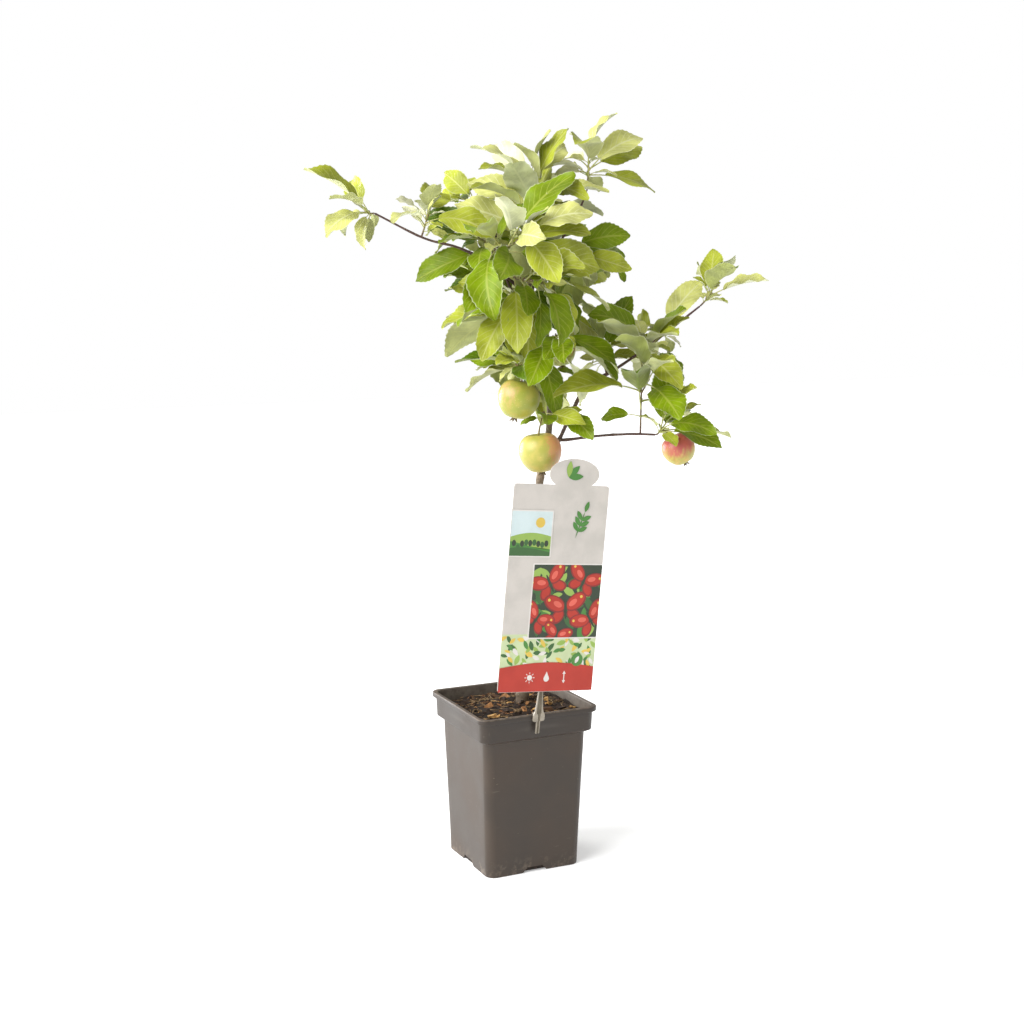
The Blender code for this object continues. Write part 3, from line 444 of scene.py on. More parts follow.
def make_piece(name, shape, materials, nodes=(), uv=None, kinds=None, sharp=None):
    """A shown piece of the one body, with its finish and the solid nodes that it stands for.

    uv holds two values for each point, kinds the number of each face's material, and sharp the angle in
    degrees past which an edge is drawn sharp, or 0 for flat faces.
    """
    mesh = mesh_of(name, shape, materials)
    if kinds is not None:
        mesh.polygons.foreach_set("material_index", np.asarray(kinds, np.int32))
    if uv is not None:
        corners = np.zeros(len(mesh.loops), np.int32)
        mesh.loops.foreach_get("vertex_index", corners)
        mesh.uv_layers.new(name="surface").data.foreach_set("uv", np.asarray(uv, np.float32)[corners].ravel())
    if sharp != 0:
        mesh.shade_smooth()
    if sharp:
        mesh.set_sharp_from_angle(angle=math.radians(sharp))
    obj = put(name, mesh)
    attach(obj, "root")
    if nodes:
        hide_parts(*nodes)
    return obj


def to_row(points):
    """Points in the tree's axes, turned about Z into the model's frame."""
    x, y, z = np.asarray(points, float).T
    return np.column_stack([*swing(x, y, TREE_TURN), z])


def turned(shapes):
    """Shapes in the tree's axes as one, turned into the model's frame."""
    points, faces = join(shapes)
    return to_row(points), faces


def waves(place, rng, lengths, depths):
    """Uneven height over places: for each wavelength the sum of five sine waves in seeded directions."""
    height = np.zeros(place.shape[:-1])
    for length, depth in zip(lengths, depths):
        ways = TAU / length * unit(rng.normal(size=(5, place.shape[-1])))
        height += depth * np.sin(place @ ways.T + rng.uniform(0, TAU, 5)).sum(-1) / math.sqrt(5)
    return height


def tube_rings(path, radii, sides):
    """Rings round a path: centre + radius (cos a * side + sin a * other), with a running once round.

    radii holds one value for each ring, or one for each point of each ring.
    """
    radii = np.asarray(radii, float)
    tangent = unit(np.gradient(path, axis=0))
    level = np.eye(3)[np.argmin(np.abs(tangent).max(axis=0))]
    side = unit(np.cross(tangent, level))
    radii = radii[:, None, None] if radii.ndim == 1 else radii[..., None]
    return path[:, None] + radii * circle(side, np.cross(tangent, side), sides)


def tube_skin(path, radii, sides):
    """Closed skin of a tube along a path, with a low cap at each end."""
    return capped(tube_rings(path, radii, sides))


def resample(path, values, count):
    """A path and its values at evenly spaced shares, the path on one smooth curve."""
    share = np.linspace(0, 1, count)
    return smooth_path(path, count), np.interp(share, np.linspace(0, 1, len(values)), values), share


def smooth_path(points, count):
    """Points spaced evenly on one smooth curve through the given ones (Catmull-Rom)."""
    p = np.array(points, float)
    p = np.vstack([2 * p[0] - p[1], p, 2 * p[-1] - p[-2]])
    t = np.linspace(0, 1, PATH_STEPS, endpoint=False)[:, None]
    pieces = []
    for a, b, c, d in zip(p[:-3], p[1:-2], p[2:-1], p[3:]):
        square = 2 * a - 5 * b + 4 * c - d
        cube = 3 * b - a - 3 * c + d
        pieces.append(0.5 * (2 * b + (c - a) * t + square * t**2 + cube * t**3))
    path = np.vstack(pieces + [p[-2:-1]])
    run = np.r_[0, np.cumsum(np.linalg.norm(np.diff(path, axis=0), axis=1))]
    want = np.linspace(0, run[-1], count)
    return np.stack([np.interp(want, run, path[:, k]) for k in range(3)], 1)


def point_along(path, share):
    """The point at a share of a path's length."""
    at = share * (len(path) - 1)
    k = min(int(at), len(path) - 2)
    return path[k] + (path[k + 1] - path[k]) * (at - k)


def direction(heading, rise):
    """Unit vector from its heading, counted from +X, and its rise above the level."""
    level = math.cos(rise)
    return np.array([level * math.cos(heading), level * math.sin(heading), math.sin(rise)])


def turn_about(axis, angle, v):
    """v turned about the unit axis."""
    along = axis * np.dot(axis, v) * (1 - math.cos(angle))
    return v * math.cos(angle) + np.cross(axis, v) * math.sin(angle) + along


def loft(rings, tip=None):
    """Closed solid over rings of equal count, which ends in a point where a tip is given."""
    count, size = rings.shape[:2]
    points = rings.reshape(-1, 3)
    faces = []
    for i in range(count - 1):
        for j in range(size):
            a, b = i * size + j, i * size + (j + 1) % size
            faces += [(a, b, b + size), (a, b + size, a + size)]
    faces += [(0, j + 1, j) for j in range(1, size - 1)]
    last = (count - 1) * size
    if tip is None:
        faces += [(last, last + j, last + j + 1) for j in range(1, size - 1)]
    else:
        points = np.vstack([points, tip])
        faces += [(last + j, last + (j + 1) % size, len(points) - 1) for j in range(size)]
    return points, np.array(faces)


def tube(path, radii, sides):
    """Closed solid of a round shoot along a path."""
    path = np.asarray(path, float)
    tangents = unit(np.gradient(path, axis=0))
    side = np.cross(tangents[0], SIDE_GUIDE)
    rings = []
    for centre, tangent, radius in zip(path, tangents, radii):
        side = unit(side - tangent * np.dot(side, tangent))
        rings.append(centre + radius * circle(side, np.cross(tangent, side), sides))
    return loft(np.array(rings))


def limb_line(name):
    """A limb's path and its radius at each point, wider at the trunk's foot."""
    limb = LIMBS[name]
    path = smooth_path(limb.points, LIMB_POINTS)
    share = np.linspace(0, 1, LIMB_POINTS)
    radii = limb.foot_radius + (limb.tip_radius - limb.foot_radius) * share
    if name == "trunk":
        radii = radii + ROOT_FLARE * np.exp(-share / FLARE_SHARE)
    return path, radii


class Crown:
    """What has grown so far, so that what grows later keeps clear of it."""

    def __init__(self):
        self.grown = []

    def add(self, solid, owner):
        """Keeps a solid with the name of the mass that owns it."""
        points, faces = solid
        tree = BVHTree.FromPolygons(points.tolist(), faces.tolist())
        self.grown.append((points.min(0), points.max(0), tree, owner))

    def clear(self, solid, name, own):
        """Whether a solid touches nothing of its own mass, or nothing of all else."""
        points, faces = solid
        low, high = points.min(0), points.max(0)
        mine = None
        for other_low, other_high, tree, owner in self.grown:
            apart = (other_low > high).any() or (other_high < low).any()
            if (owner == name) != own or apart:
                continue
            mine = mine or BVHTree.FromPolygons(points.tolist(), faces.tolist())
            if mine.overlap(tree):
                return False
        return True


def leaf_width(share):
    """Share of a leaf's full width at a share of its blade's length: sin(pi s^0.9)^0.7."""
    return np.maximum(0.0, np.sin(math.pi * share**0.9)) ** 0.7


def leaf_lines(leaf, t):
    """Midrib point, across, up and along at each t: -1 at the stalk's foot, 0 at the blade's, 1 at the tip.

    The midrib is an arc: it leaves the shoot at the leaf's lift and bends down evenly to its tip. The
    blade twists about it.
    """
    t = np.asarray(t, float)
    stalk, blade, lift = leaf["stalk"], leaf["blade"], leaf["lift"]
    curl = leaf["bend"] / (stalk + blade)
    angle = (lift - curl * np.where(t < 0, (t + 1) * stalk, stalk + t * blade))[:, None]
    along, across, up = leaf["axes"]
    ahead = (math.sin(lift) - np.sin(angle)) / curl
    above = (np.cos(angle) - math.cos(lift)) / curl
    here_along = np.cos(angle) * along + np.sin(angle) * up
    here_up = np.cos(angle) * up - np.sin(angle) * along
    twist = leaf["twist"] * np.maximum(t, 0)[:, None]
    side, top = (v * np.cos(twist) + np.cross(here_along, v) * np.sin(twist) for v in (across, here_up))
    return leaf["foot"] + ahead * along + above * up, side, top, here_along


def leaf_solid(leaf, extra=0.0):
    """Closed leaf over three-cornered sections: two edges, raised by the fold, and the midrib below them.

    It is fatter by extra where it is only tried for room.
    """
    middle, sides, tops, _ = leaf_lines(leaf, [*LEAF_STATIONS, 1.0])
    rings = []
    for t, point, across, up in zip(LEAF_STATIONS, middle, sides, tops):
        if t <= 0:
            radius = STALK_RADIUS + extra
            half, lift, keel = 0.87 * radius, 0.5 * radius, radius
        else:
            side = leaf["width"] / 2 * leaf_width(t) + extra
            half, lift = side * math.cos(leaf["fold"]), side * math.sin(leaf["fold"])
            keel = LEAF_THICKNESS / 2 + extra
        edge = half * across
        rings.append([point - edge + lift * up, point - keel * up, point + edge + lift * up])
    return loft(np.array(rings), middle[-1])


def past_stem(solid, leaf):
    """The leaf's solid from a little way up its stalk, because its foot stands in the shoot."""
    points, faces = solid
    moved = leaf_lines(leaf, [STALK_TRIED])[0] + (points[:3] - points[:3].mean(0))
    return np.vstack([moved, points[3:]]), faces


def draw_leaf(rng, foot, heading, rise, length):
    """One leaf's sizes and turns, from seeded draws round the given ones."""
    heading = heading + rng.normal(0, HEADING_SPREAD)
    rise = rise + rng.normal(0, RISE_SPREAD)
    along = direction(heading, rise)
    across = np.array([-math.sin(heading), math.cos(heading), 0.0])
    up = np.cross(along, across)
    roll = rng.normal(0, ROLL_SPREAD) + LIGHT_TURN * float(np.dot(np.cross(up, LIGHT), along))
    across, up = turn_about(along, roll, across), turn_about(along, roll, up)
    blade = length * rng.uniform(*BLADE_SHARE)
    return {
        "foot": foot,
        "axes": (along, across, up),
        "stalk": length * rng.uniform(*STALK_SHARE),
        "blade": blade,
        "width": blade * rng.uniform(*WIDTH_SHARE),
        "lift": rng.uniform(*LIFT),
        "bend": rng.uniform(*BEND),
        "fold": rng.uniform(*FOLD),
        "twist": rng.normal(0, TWIST_SPREAD),
        "tone": rng.random(),
    }


def leaf_on(crown, rng, name, shoot, out, share, spin, length, heart, reach):
    """A leaf at a share of a shoot, or None where every try touches something or leaves the space."""
    point = point_along(shoot, share)
    side = unit(np.cross(out, LEAF_GUIDE))
    for attempt in range(LEAF_TRIES):
        radial = turn_about(out, spin + rng.normal(0, SPIN_SPREAD) * (1 + attempt), side)
        opening = math.radians(OPENING_FOOT + (OPENING_TIP - OPENING_FOOT) * share)
        aim = out * math.cos(opening) + radial * math.sin(opening)
        aim = unit(aim + [0, 0, AIM_RAISE])
        leaf = draw_leaf(rng, point, math.atan2(aim[1], aim[0]), math.asin(aim[2]) * RISE_SHARE, length)
        solid = leaf_solid(leaf, LEAF_CLEARANCE)
        far = np.linalg.norm(solid[0] - heart, axis=1).max()
        if (far < reach and crown.clear(past_stem(solid, leaf), name, True)
                and crown.clear(solid, name, False)):
            return leaf
    return None


def mass_stem(lines, name):
    """Path of a mass's stem from its limb, its direction and its radius at the foot."""
    mass = MASSES[name]
    path, radii = lines[mass.limb]
    out = direction(math.radians(mass.heading), math.radians(mass.rise))
    foot = point_along(path, mass.share)
    steps = np.linspace(0, 1, STEM_POINTS)[:, None]
    stem = foot + steps * mass.stem * out + steps**2 * np.array([0, 0, STEM_SAG]) * mass.stem
    radius = min(STEM_RADIUS, STEM_LIMB_SHARE * float(point_along(radii[:, None], mass.share)[0]))
    return stem, out, radius


def grow_mass(crown, lines, name):
    """Shoots and leaves of one mass: leaves round its stem, then side twigs that end in a few more."""
    mass = MASSES[name]
    stem, out, radius = mass_stem(lines, name)
    rng = np.random.default_rng(mass.seed)
    heart = point_along(stem, 0.5)
    reach = SPACE + mass.stem / 2
    shoots = [(stem, np.linspace(radius, SHOOT_TIP_RADIUS, STEM_POINTS))]
    leaves = []

    def try_leaf(shoot, way, share, spin, length):
        leaf = leaf_on(crown, rng, name, shoot, way, share, spin, length, heart, reach)
        if leaf:
            leaves.append(leaf)
            crown.add(leaf_solid(leaf), name)

    spin = rng.uniform(0, 2 * math.pi)
    first = BARE_SHARE["long" if mass.stem > LONG_STEM else "short"]
    for i in range(mass.leaves):
        share = first + (1 - first) * (i + 0.5) / mass.leaves
        length = mass.leaf_length * (1 - TIP_SHORTER * max(0.0, share - TIP_SHARE) / (1 - TIP_SHARE))
        try_leaf(stem, out, share, spin + i * GOLDEN_ANGLE, length)
    for j in range(mass.twigs):
        start = point_along(stem, TWIG_PLACE[0] + TWIG_PLACE[1] * (j + rng.random()) / mass.twigs)
        way = direction(spin + (j + 0.5) * GOLDEN_ANGLE * TWIG_TURN, rng.uniform(*TWIG_RISE))
        steps = np.linspace(0, 1, TWIG_POINTS)[:, None]
        twig = start + steps * TWIG_LENGTH * rng.uniform(*TWIG_LENGTH_SHARE) * way
        room = TWIG_RADIUS + LEAF_CLEARANCE
        whole = tube(twig, [room] * TWIG_POINTS, 4)
        outer = tube(twig[1:], [room] * (TWIG_POINTS - 1), 4)
        if not (crown.clear(whole, name, False) and crown.clear(outer, name, True)):
            continue
        shoots.append((twig, np.linspace(TWIG_RADIUS, TWIG_TAPER * TWIG_RADIUS, TWIG_POINTS)))
        crown.add(tube(twig[1:], [TWIG_RADIUS] * (TWIG_POINTS - 1), 4), name)
        for i in range(TWIG_LEAVES):
            share = TWIG_LEAF_PLACE + (1 - TWIG_LEAF_PLACE) * i / TWIG_LEAVES
            try_leaf(twig, way, share, spin + i * GOLDEN_ANGLE, TWIG_LEAF_SHARE * mass.leaf_length)
    return shoots, leaves


def apple_axes(apple):
    """An apple's centre, the unit vector up its core, which leans to the right, and two across it."""
    lean = math.radians(apple.lean)
    axis = np.array([-math.sin(lean), 0.0, math.cos(lean)])
    side = np.array([axis[2], 0.0, -axis[0]])
    return np.array(apple.centre), axis, side, np.cross(axis, side)


def apple_solid(apple, extra=0.0):
    """Closed turned apple: nearly round, a little wider above its middle and flat at its poles."""
    centre, axis, side, other = apple_axes(apple)
    radius = apple.radius + extra
    polar = (math.pi * np.arange(APPLE_RINGS - 1, 0, -1) / APPLE_RINGS)[:, None, None]
    wide = radius * np.sin(polar) * (1 + APPLE_SHOULDER * np.cos(polar))
    high = APPLE_HEIGHT * radius * np.cos(polar)
    return loft(centre + high * axis + wide * circle(side, other, APPLE_STEPS))


def apple_stalk(lines, apple):
    """Curved stalk from the tip of the mass's stem into the top of the apple."""
    centre, axis, _, _ = apple_axes(apple)
    top = centre + APPLE_STALK_FOOT * apple.radius * axis
    stem, _, _ = mass_stem(lines, apple.mass)
    middle = (stem[-1] + top) / 2 + APPLE_STALK_BOW * axis
    t = np.linspace(0, 1, APPLE_STALK_POINTS)[:, None]
    return (1 - t) ** 2 * stem[-1] + 2 * t * (1 - t) * middle + t**2 * top


def grow_crown(lines):
    """All masses: limbs, apples and stems take their room first, then each mass grows its leaves."""
    crown = Crown()
    for path, radii in lines.values():
        crown.add(tube(path, radii + GAP, 8), "limbs")
    for apple in APPLES.values():
        crown.add(apple_solid(apple, APPLE_CLEARANCE), apple.mass)
        room = [APPLE_STALK_RADIUS + GAP] * APPLE_STALK_POINTS
        crown.add(tube(apple_stalk(lines, apple), room, 4), apple.mass)
    for name in MASSES:
        stem, _, radius = mass_stem(lines, name)
        crown.add(tube(stem, [radius + GAP] * STEM_POINTS, 4), name)
    return crown, {name: grow_mass(crown, lines, name) for name in MASSES}


def blade_skin(leaf, rng):
    """Closed thin blade over a grid of t, foot to tip, and u, edge to edge.

    A point is midrib(t) + half width(t) * u * across, raised by the fold |u| and by waves that grow towards
    the edge. Every second station ends in a tooth that stands out and forward. The underside lies a blade's
    thickness below, which fades to nothing at the edge, so that both sides share it. Its quads start one
    corner on, so that they are split along the same diagonals as those above them.
    """
    steps = blade_steps(leaf)
    t = np.linspace(*BLADE_ENDS, steps)
    middle, across, up, along = leaf_lines(leaf, t)
    taper = 1 - TAPER_SHARE * np.clip((t - TAPER_FROM) / (1 - TAPER_FROM), 0, 1) ** 1.5
    half = leaf["width"] / 2 * leaf_width(t) * taper
    tooth = np.arange(steps) % 2 * np.sin(math.pi * t) ** 0.5
    u = BLADE_ACROSS
    edge = np.abs(u) ** 6
    wide = half[:, None] * u + tooth[:, None] * edge * np.sign(u) * TOOTH_DEPTH * leaf["width"] / 2
    ahead = tooth[:, None] * edge * TOOTH_FORWARD * leaf["blade"] / steps
    count, phase = rng.uniform(*RIPPLES), rng.uniform(0, TAU)
    ripple = RIPPLE_SHARE * leaf["width"] * u**2 * np.sin(count * TAU * t[:, None] + phase + 1.1 * u)
    quilt = QUILT_SHARE * leaf["width"] * np.sin(TAU * VEINS * (t[:, None] - VEIN_SWEEP * np.abs(u)))
    quilt = quilt * np.abs(u) * (1 - u**2)
    fold = leaf["fold"]
    raised = np.abs(wide) * math.sin(fold) * (1 - FOLD_FLATTER * np.abs(u)) + ripple + quilt
    flat = wide * math.cos(fold)
    upper = (middle[:, None] + flat[..., None] * across[:, None] + raised[..., None] * up[:, None]
             + ahead[..., None] * along[:, None])
    depth = BLADE_THICKNESS * (1 - u**2) + MIDRIB_DEPTH * np.exp(-(u / MIDRIB_HALF) ** 2)
    lower = upper - depth[:, None] * up[:, None]
    rings = np.concatenate([upper, lower[:, -2:0:-1]], axis=1)
    ends = leaf_lines(leaf, [0.0, 1.0])[0]
    columns = np.concatenate([u, u[-2:0:-1]])
    surface = np.stack(np.broadcast_arrays(np.abs(columns), t[:, None] - VEIN_SWEEP * np.abs(columns)), -1)
    surface = np.vstack([[0, 0], surface.reshape(-1, 2), [0, 1]])
    points, (quads, foot, tip) = skin(rings, ends[0], ends[1])
    grid = quads.reshape(steps - 1, -1, 4)
    grid[:, len(u) - 1:] = np.roll(grid[:, len(u) - 1:], -1, axis=2)
    return (points, [grid.reshape(-1, 4), foot, tip]), surface


def blade_steps(leaf):
    """How many stations a blade has, two for each tooth; the small leaves have fewer."""
    return 2 * (SMALL_TEETH if "age" in leaf else TEETH)


def blade_kinds(leaf):
    """Which of a blade's faces show its upper side (0) or its underside (1), in the order of its faces."""
    top = len(BLADE_ACROSS) - 1
    ring = np.where(np.arange(2 * top) < top, 0, 1)
    return np.concatenate([np.tile(ring, blade_steps(leaf) - 1), ring, ring])


def stalk_skin(leaf):
    """Leaf stalk: a tube on the leaf's own arc, thicker at its foot, that runs a little into the midrib."""
    middle = leaf_lines(leaf, np.linspace(*STALK_ENDS, len(STALK_TAPER)))[0]
    thick = STALK_HALF * (leaf["blade"] / USUAL_BLADE) ** 0.5
    return tube_skin(middle, thick * STALK_TAPER, 6)


def small_leaves(crown, lines, name):
    """More leaves by the mass's own rule: small ones along its stem and a tuft of young ones at its tip."""
    mass = MASSES[name]
    stem, out, _ = mass_stem(lines, name)
    rng = np.random.default_rng(mass.seed + 1)
    heart = point_along(stem, 0.5)
    reach = SMALL_REACH * (SPACE + mass.stem / 2)
    plan = [(rng.uniform(*SMALL_LEAF_PLACE), SMALL_LEAF_SHARE) for _ in range(SMALL_LEAVES)]
    plan += [(rng.uniform(*TIP_LEAF_PLACE), TIP_LEAF_SHARE) for _ in range(TIP_LEAVES)]
    grown = []
    for k, (share, size) in enumerate(plan):
        length = size * mass.leaf_length * rng.uniform(*SMALL_SPREAD)
        leaf = leaf_on(crown, rng, name, stem, out, share, k * GOLDEN_ANGLE, length, heart, reach)
        if leaf:
            leaf["age"] = size
            crown.add(leaf_solid(leaf), name)
            grown.append(leaf)
    return grown


def tone_of(leaf, name):
    """Which of the five tones a leaf has: its spray's tone, its own shade of it and how young it is.

    The spray's tone is partly painted light and shade, set by where the mass stands in the crown.
    """
    tone = MASSES[name].tone + OWN_TONE_SPREAD * (leaf["tone"] - 0.5) - PALER.get(leaf.get("age"), 0.0)
    return int(np.clip(round(tone), 0, len(LEAF_COLOURS) - 1))


def bud_skin(foot, along, length):
    """Egg-shaped bud: radius 0.34 length * sin(pi s)^0.7 * (1.15 - 0.5 s) along its axis."""
    s = np.linspace(0.04, 0.97, 6)
    radii = 0.34 * length * np.sin(math.pi * s) ** 0.7 * (1.15 - 0.5 * s)
    return skin(tube_rings(foot + s[:, None] * length * along, radii, 7), foot, foot + length * along)


# Upper side, its underside and its veins for each tone of leaf, from pale young growth to leaves in the
# shade;
# the brighter and darker tones are partly lit and shaded copies of one leaf colour: painted light and shade
LEAF_COLOURS = [
    ("young", "#cecea8", "#d2d4b4", "#e8e8d0"),
    ("bright", "#b9bb6c", "#c4c89e", "#d9daae"),
    ("mid", "#969e2c", "#afb478", "#c0c178"),
    ("deep", "#6b8104", "#9aa25a", "#9fa74a"),
    ("shade", "#476000", "#76803c", "#748b2a"),
]


def leaf_materials(tone, upper, under, vein):
    """Fresh apple leaf: satin and faintly waxy above, with sunk pale veins; matt, paler and downy below.
    Its pale margin is partly fine down and partly a painted highlight."""
    made = []
    for side, base, rough, vein_share, gloss, sheen, raised in (
            ("upper", upper, 0.34, 0.55, 0.25, 0.0, -0.7), ("under", under, 0.72, 0.45, 0.15, 0.25, 0.9)):
        leaf = Finish(f"{tone} leaf {side} side", shade_of(base, 0.90), Specular_IOR_Level=gloss, IOR=1.42,
                      Sheen_Weight=sheen, Sheen_Roughness=0.5)
        out, along, _ = leaf.surface()
        ray = leaf.maths("PINGPONG", leaf.times(along, float(VEINS)), 0.5)
        side_vein = leaf.times(leaf.remap(ray, 0.0, 0.13, 1.0, 0.0), leaf.remap(out, 0.55, 1.0, 0.75, 0.05))
        veins = leaf.maths("MAXIMUM", side_vein, leaf.remap(out, 0.02, 0.11, 1.0, 0.0))
        blots, net = leaf.noise(leaf.place, 30 * MM), leaf.noise(leaf.place, 2.4 * MM, 2.0)
        leaf.coat(leaf.remap(blots, 0.34, 0.66), shade_of(base, 1.10))
        leaf.coat(leaf.remap(net, 0.45, 0.75, 0.0, 0.14), vein)
        leaf.coat(leaf.times(veins, vein_share), vein)
        # Pale margin: partly fine down, partly a painted highlight along the edge
        leaf.coat(leaf.remap(out, 0.92, 1.0, 0.0, 0.4), LEAF_COLOURS[0][3])
        relief = leaf.maths("ADD", leaf.times(veins, raised), leaf.times(net, 0.2))
        made.append(leaf.done(leaf.remap(blots, 0.3, 0.7, rough - 0.06, rough + 0.08), relief, 0.25 * MM))
    return made


def bark_material(name, foot, tip, lenticel, rough):
    """Smooth young apple bark: dull and finely fissured, freckled with pale raised lenticels.

    Its colour runs from the limb's foot to its tip, where the skin is younger. Near the soil it is darker,
    as painted shade at the trunk's foot.
    """
    bark = Finish(name, foot, Specular_IOR_Level=0.35)
    blots = bark.noise(bark.place, 9 * MM)
    fissures = bark.noise(bark.coords((1.0, 1.0, 0.25)), 1.1 * MM, 4.0, 0.6)
    freckle = bark.remap(bark.cells(bark.coords((1.0, 1.0, 2.6)), 5 * MM), 0.12, 0.22, 1.0, 0.0)
    bark.coat(bark.surface()[0], tip)
    bark.coat(bark.remap(blots, 0.35, 0.7, 0.0, 0.45), shade_of(foot, 0.62))
    bark.coat(bark.remap(fissures, 0.5, 0.72, 0.0, 0.4), shade_of(lenticel, 0.8))
    bark.coat(bark.times(freckle, 0.7), lenticel)
    height = bark.apart(bark.place)[2]
    # Painted shade: darker from the soil's dip up to 26 mm above its level
    bark.coat(bark.remap(height, SOIL_LEVEL - SOIL_DIP, SOIL_LEVEL + 26 * MM, 0.9, 0.0), "#3c2c1e")
    relief = bark.maths("ADD", bark.times(fissures, 0.6), bark.times(freckle, 0.4))
    return bark.done(bark.remap(fissures, 0.3, 0.7, rough - 0.1, rough + 0.1), relief, 0.5 * MM)


RING_SPACING = 1.3 * MM
NODE_SPACING = 24 * MM
BARK_WAVES = (0.026, 0.009, 0.0045)
BARK_DEPTHS = (0.06, 0.032, 0.018)
SCAR_SWELL = 0.17
SCAR_HEIGHT = 0.0028
SCAR_WIDTH = 0.8
SCAR_BACK = 0.35
SCAR_FIRST = 0.4
NODE_SPREAD = (0.85, 1.15)
UNION_PLACE = 0.055
UNION_HEIGHT = 0.012
UNION_SWELL = 0.0009
UNION_UNEVEN = 0.4
TRUNK_SIDES = 28
BOUGH_SIDES = 18


def bark_skin(name, line, sides, rng):
    """A limb with bark relief: its CAD line, with radius (1 + low waves) and a swelling at each leaf scar.

    The swellings wind up the limb at the golden angle, and the trunk also swells at its graft union. The
    tip is rounded off by the square root of what is left of the last radius.
    """
    path, radii = line
    length = np.linalg.norm(np.diff(path, axis=0), axis=1).sum()
    count = int(length / RING_SPACING)
    path, base, share = resample(path, radii, count)
    run = share * length
    a = np.arange(sides) * TAU / sides
    base, run = base[:, None], run[:, None]
    place = np.stack(np.broadcast_arrays(np.cos(a) * base, np.sin(a) * base, run), -1)
    thick = base * (1 + waves(place, rng, BARK_WAVES, BARK_DEPTHS))
    scars = np.arange(SCAR_FIRST, length / NODE_SPACING) * NODE_SPACING * rng.uniform(*NODE_SPREAD)
    for k, scar in enumerate(scars):
        turn = (a - k * GOLDEN_ANGLE + math.pi) % TAU - math.pi
        side = SCAR_BACK + (1 - SCAR_BACK) * np.exp(-(turn / SCAR_WIDTH) ** 2)
        thick += SCAR_SWELL * base * (np.exp(-((run - scar) / SCAR_HEIGHT) ** 2) * side)
    if name == "trunk":
        union = np.exp(-((run - UNION_PLACE) / UNION_HEIGHT) ** 2)
        thick += UNION_SWELL * union * (1 + UNION_UNEVEN * np.cos(a - 1.0))
    rounding = np.sqrt(np.clip((length - run) / base[-1], 0.02, 1.0))
    rings = tube_rings(path, thick * rounding, sides)
    uv = np.vstack([[share[0], 0], np.repeat(np.stack([share, share], -1), sides, axis=0), [share[-1], 1]])
    return skin(rings, rings[0].mean(0), path[-1]), uv


APPLE_ROUND = 48
APPLE_DOWN = 36
CAVITY = 0.26
CAVITY_WIDTH = 0.42
BASIN = 0.15
BASIN_WIDTH = 0.36
RIBS = 5
RIB_DEPTH = 0.022
RIB_START = 1.2
SEPAL_THICKNESS = np.array([0.05, 0.07, 0.06, 0.04, 0.01])
SEPAL_PLACE = (0.84, 0.26)
SEPAL_CURL = (0.05, 0.17)


def apple_skin(apple):
    """Turned apple with five faint ribs; the polar angle p is 0 in the stalk's cavity, pi in the eye's basin.

    Radius sin(p) * (1 + shoulder * cos(p)), height cos(p) less a cavity at the stalk and plus a basin at the
    eye. Both fall off as exp(-(angle / width)^2), and all is times the apple's radius.
    """
    centre, axis, side, other = apple_axes(apple)
    p = np.linspace(math.pi, 0, APPLE_DOWN + 2)[1:-1, None]
    a = np.arange(APPLE_ROUND) * TAU / APPLE_ROUND
    cavity = CAVITY * np.exp(-(p / CAVITY_WIDTH) ** 2)
    basin = BASIN * np.exp(-((math.pi - p) / BASIN_WIDTH) ** 2)
    high = APPLE_HEIGHT * np.cos(p) - cavity + basin
    ribs = 1 + RIB_DEPTH * np.cos(RIBS * a) * np.clip(p - RIB_START, 0, 2) / 2
    wide = np.sin(p) * (1 + APPLE_SHOULDER * np.cos(p)) * ribs
    around = wide[..., None] * circle(side, other, APPLE_ROUND)
    rings = centre + apple.radius * (high[..., None] * axis + around)
    ends = [centre + apple.radius * h * axis for h in (BASIN - APPLE_HEIGHT, APPLE_HEIGHT - CAVITY)]
    return skin(rings, *ends)


def sepals_skin(apple):
    """Dry eye of an apple: five pointed sepals that stand in its basin and curl outwards."""
    centre, axis, side, other = apple_axes(apple)
    size = apple.radius
    s = np.linspace(0, 1, len(SEPAL_THICKNESS))[:, None]
    core = centre - (SEPAL_PLACE[0] + SEPAL_PLACE[1] * s) * size * axis
    curl = (SEPAL_CURL[1] * s**2 + SEPAL_CURL[0]) * size
    sepals = [tube_skin(core + curl * out, size * SEPAL_THICKNESS, 5) for out in circle(-side, other, 5)]
    return join(sepals)


def apple_material(name, apple, green, gold, blush, toward, amount):
    """Ripening apple: taut, glossy waxed skin with pale lenticel dots and a streaky blush on one side."""
    centre = tuple(to_row([apple.centre])[0])
    fruit = Finish(name, green, centre, IOR=1.45, Coat_Weight=0.12, Coat_Roughness=0.2)
    place = fruit.place
    sockets = {0: place, 1: tuple(unit(np.array(toward)))}
    side = fruit.node("ShaderNodeVectorMath", {"operation": "DOT_PRODUCT"}, sockets, "Value")
    lit = fruit.maths("DIVIDE", side, apple.radius)
    streaks = fruit.noise(fruit.coords((1.0, 1.0, 0.22)), 2.2 * MM)
    blots = fruit.noise(place, 14 * MM)
    for marks, weight in ((streaks, 0.9), (blots, 0.7)):
        lit = fruit.maths("ADD", lit, fruit.times(fruit.maths("SUBTRACT", marks, 0.5), weight))
    fruit.coat(fruit.remap(blots, 0.35, 0.65), gold)
    fruit.coat(fruit.remap(lit, 0.75 - amount, 1.55 - amount, 0.0, 0.92), blush)
    fruit.coat(fruit.remap(fruit.cells(place, 2.6 * MM), 0.05, 0.14, 0.55, 0.0), "#e2d9a0")
    return fruit.done(fruit.remap(blots, 0.3, 0.7, 0.36, 0.48), fruit.noise(place, 1.2 * MM, 2.0), 0.06 * MM)


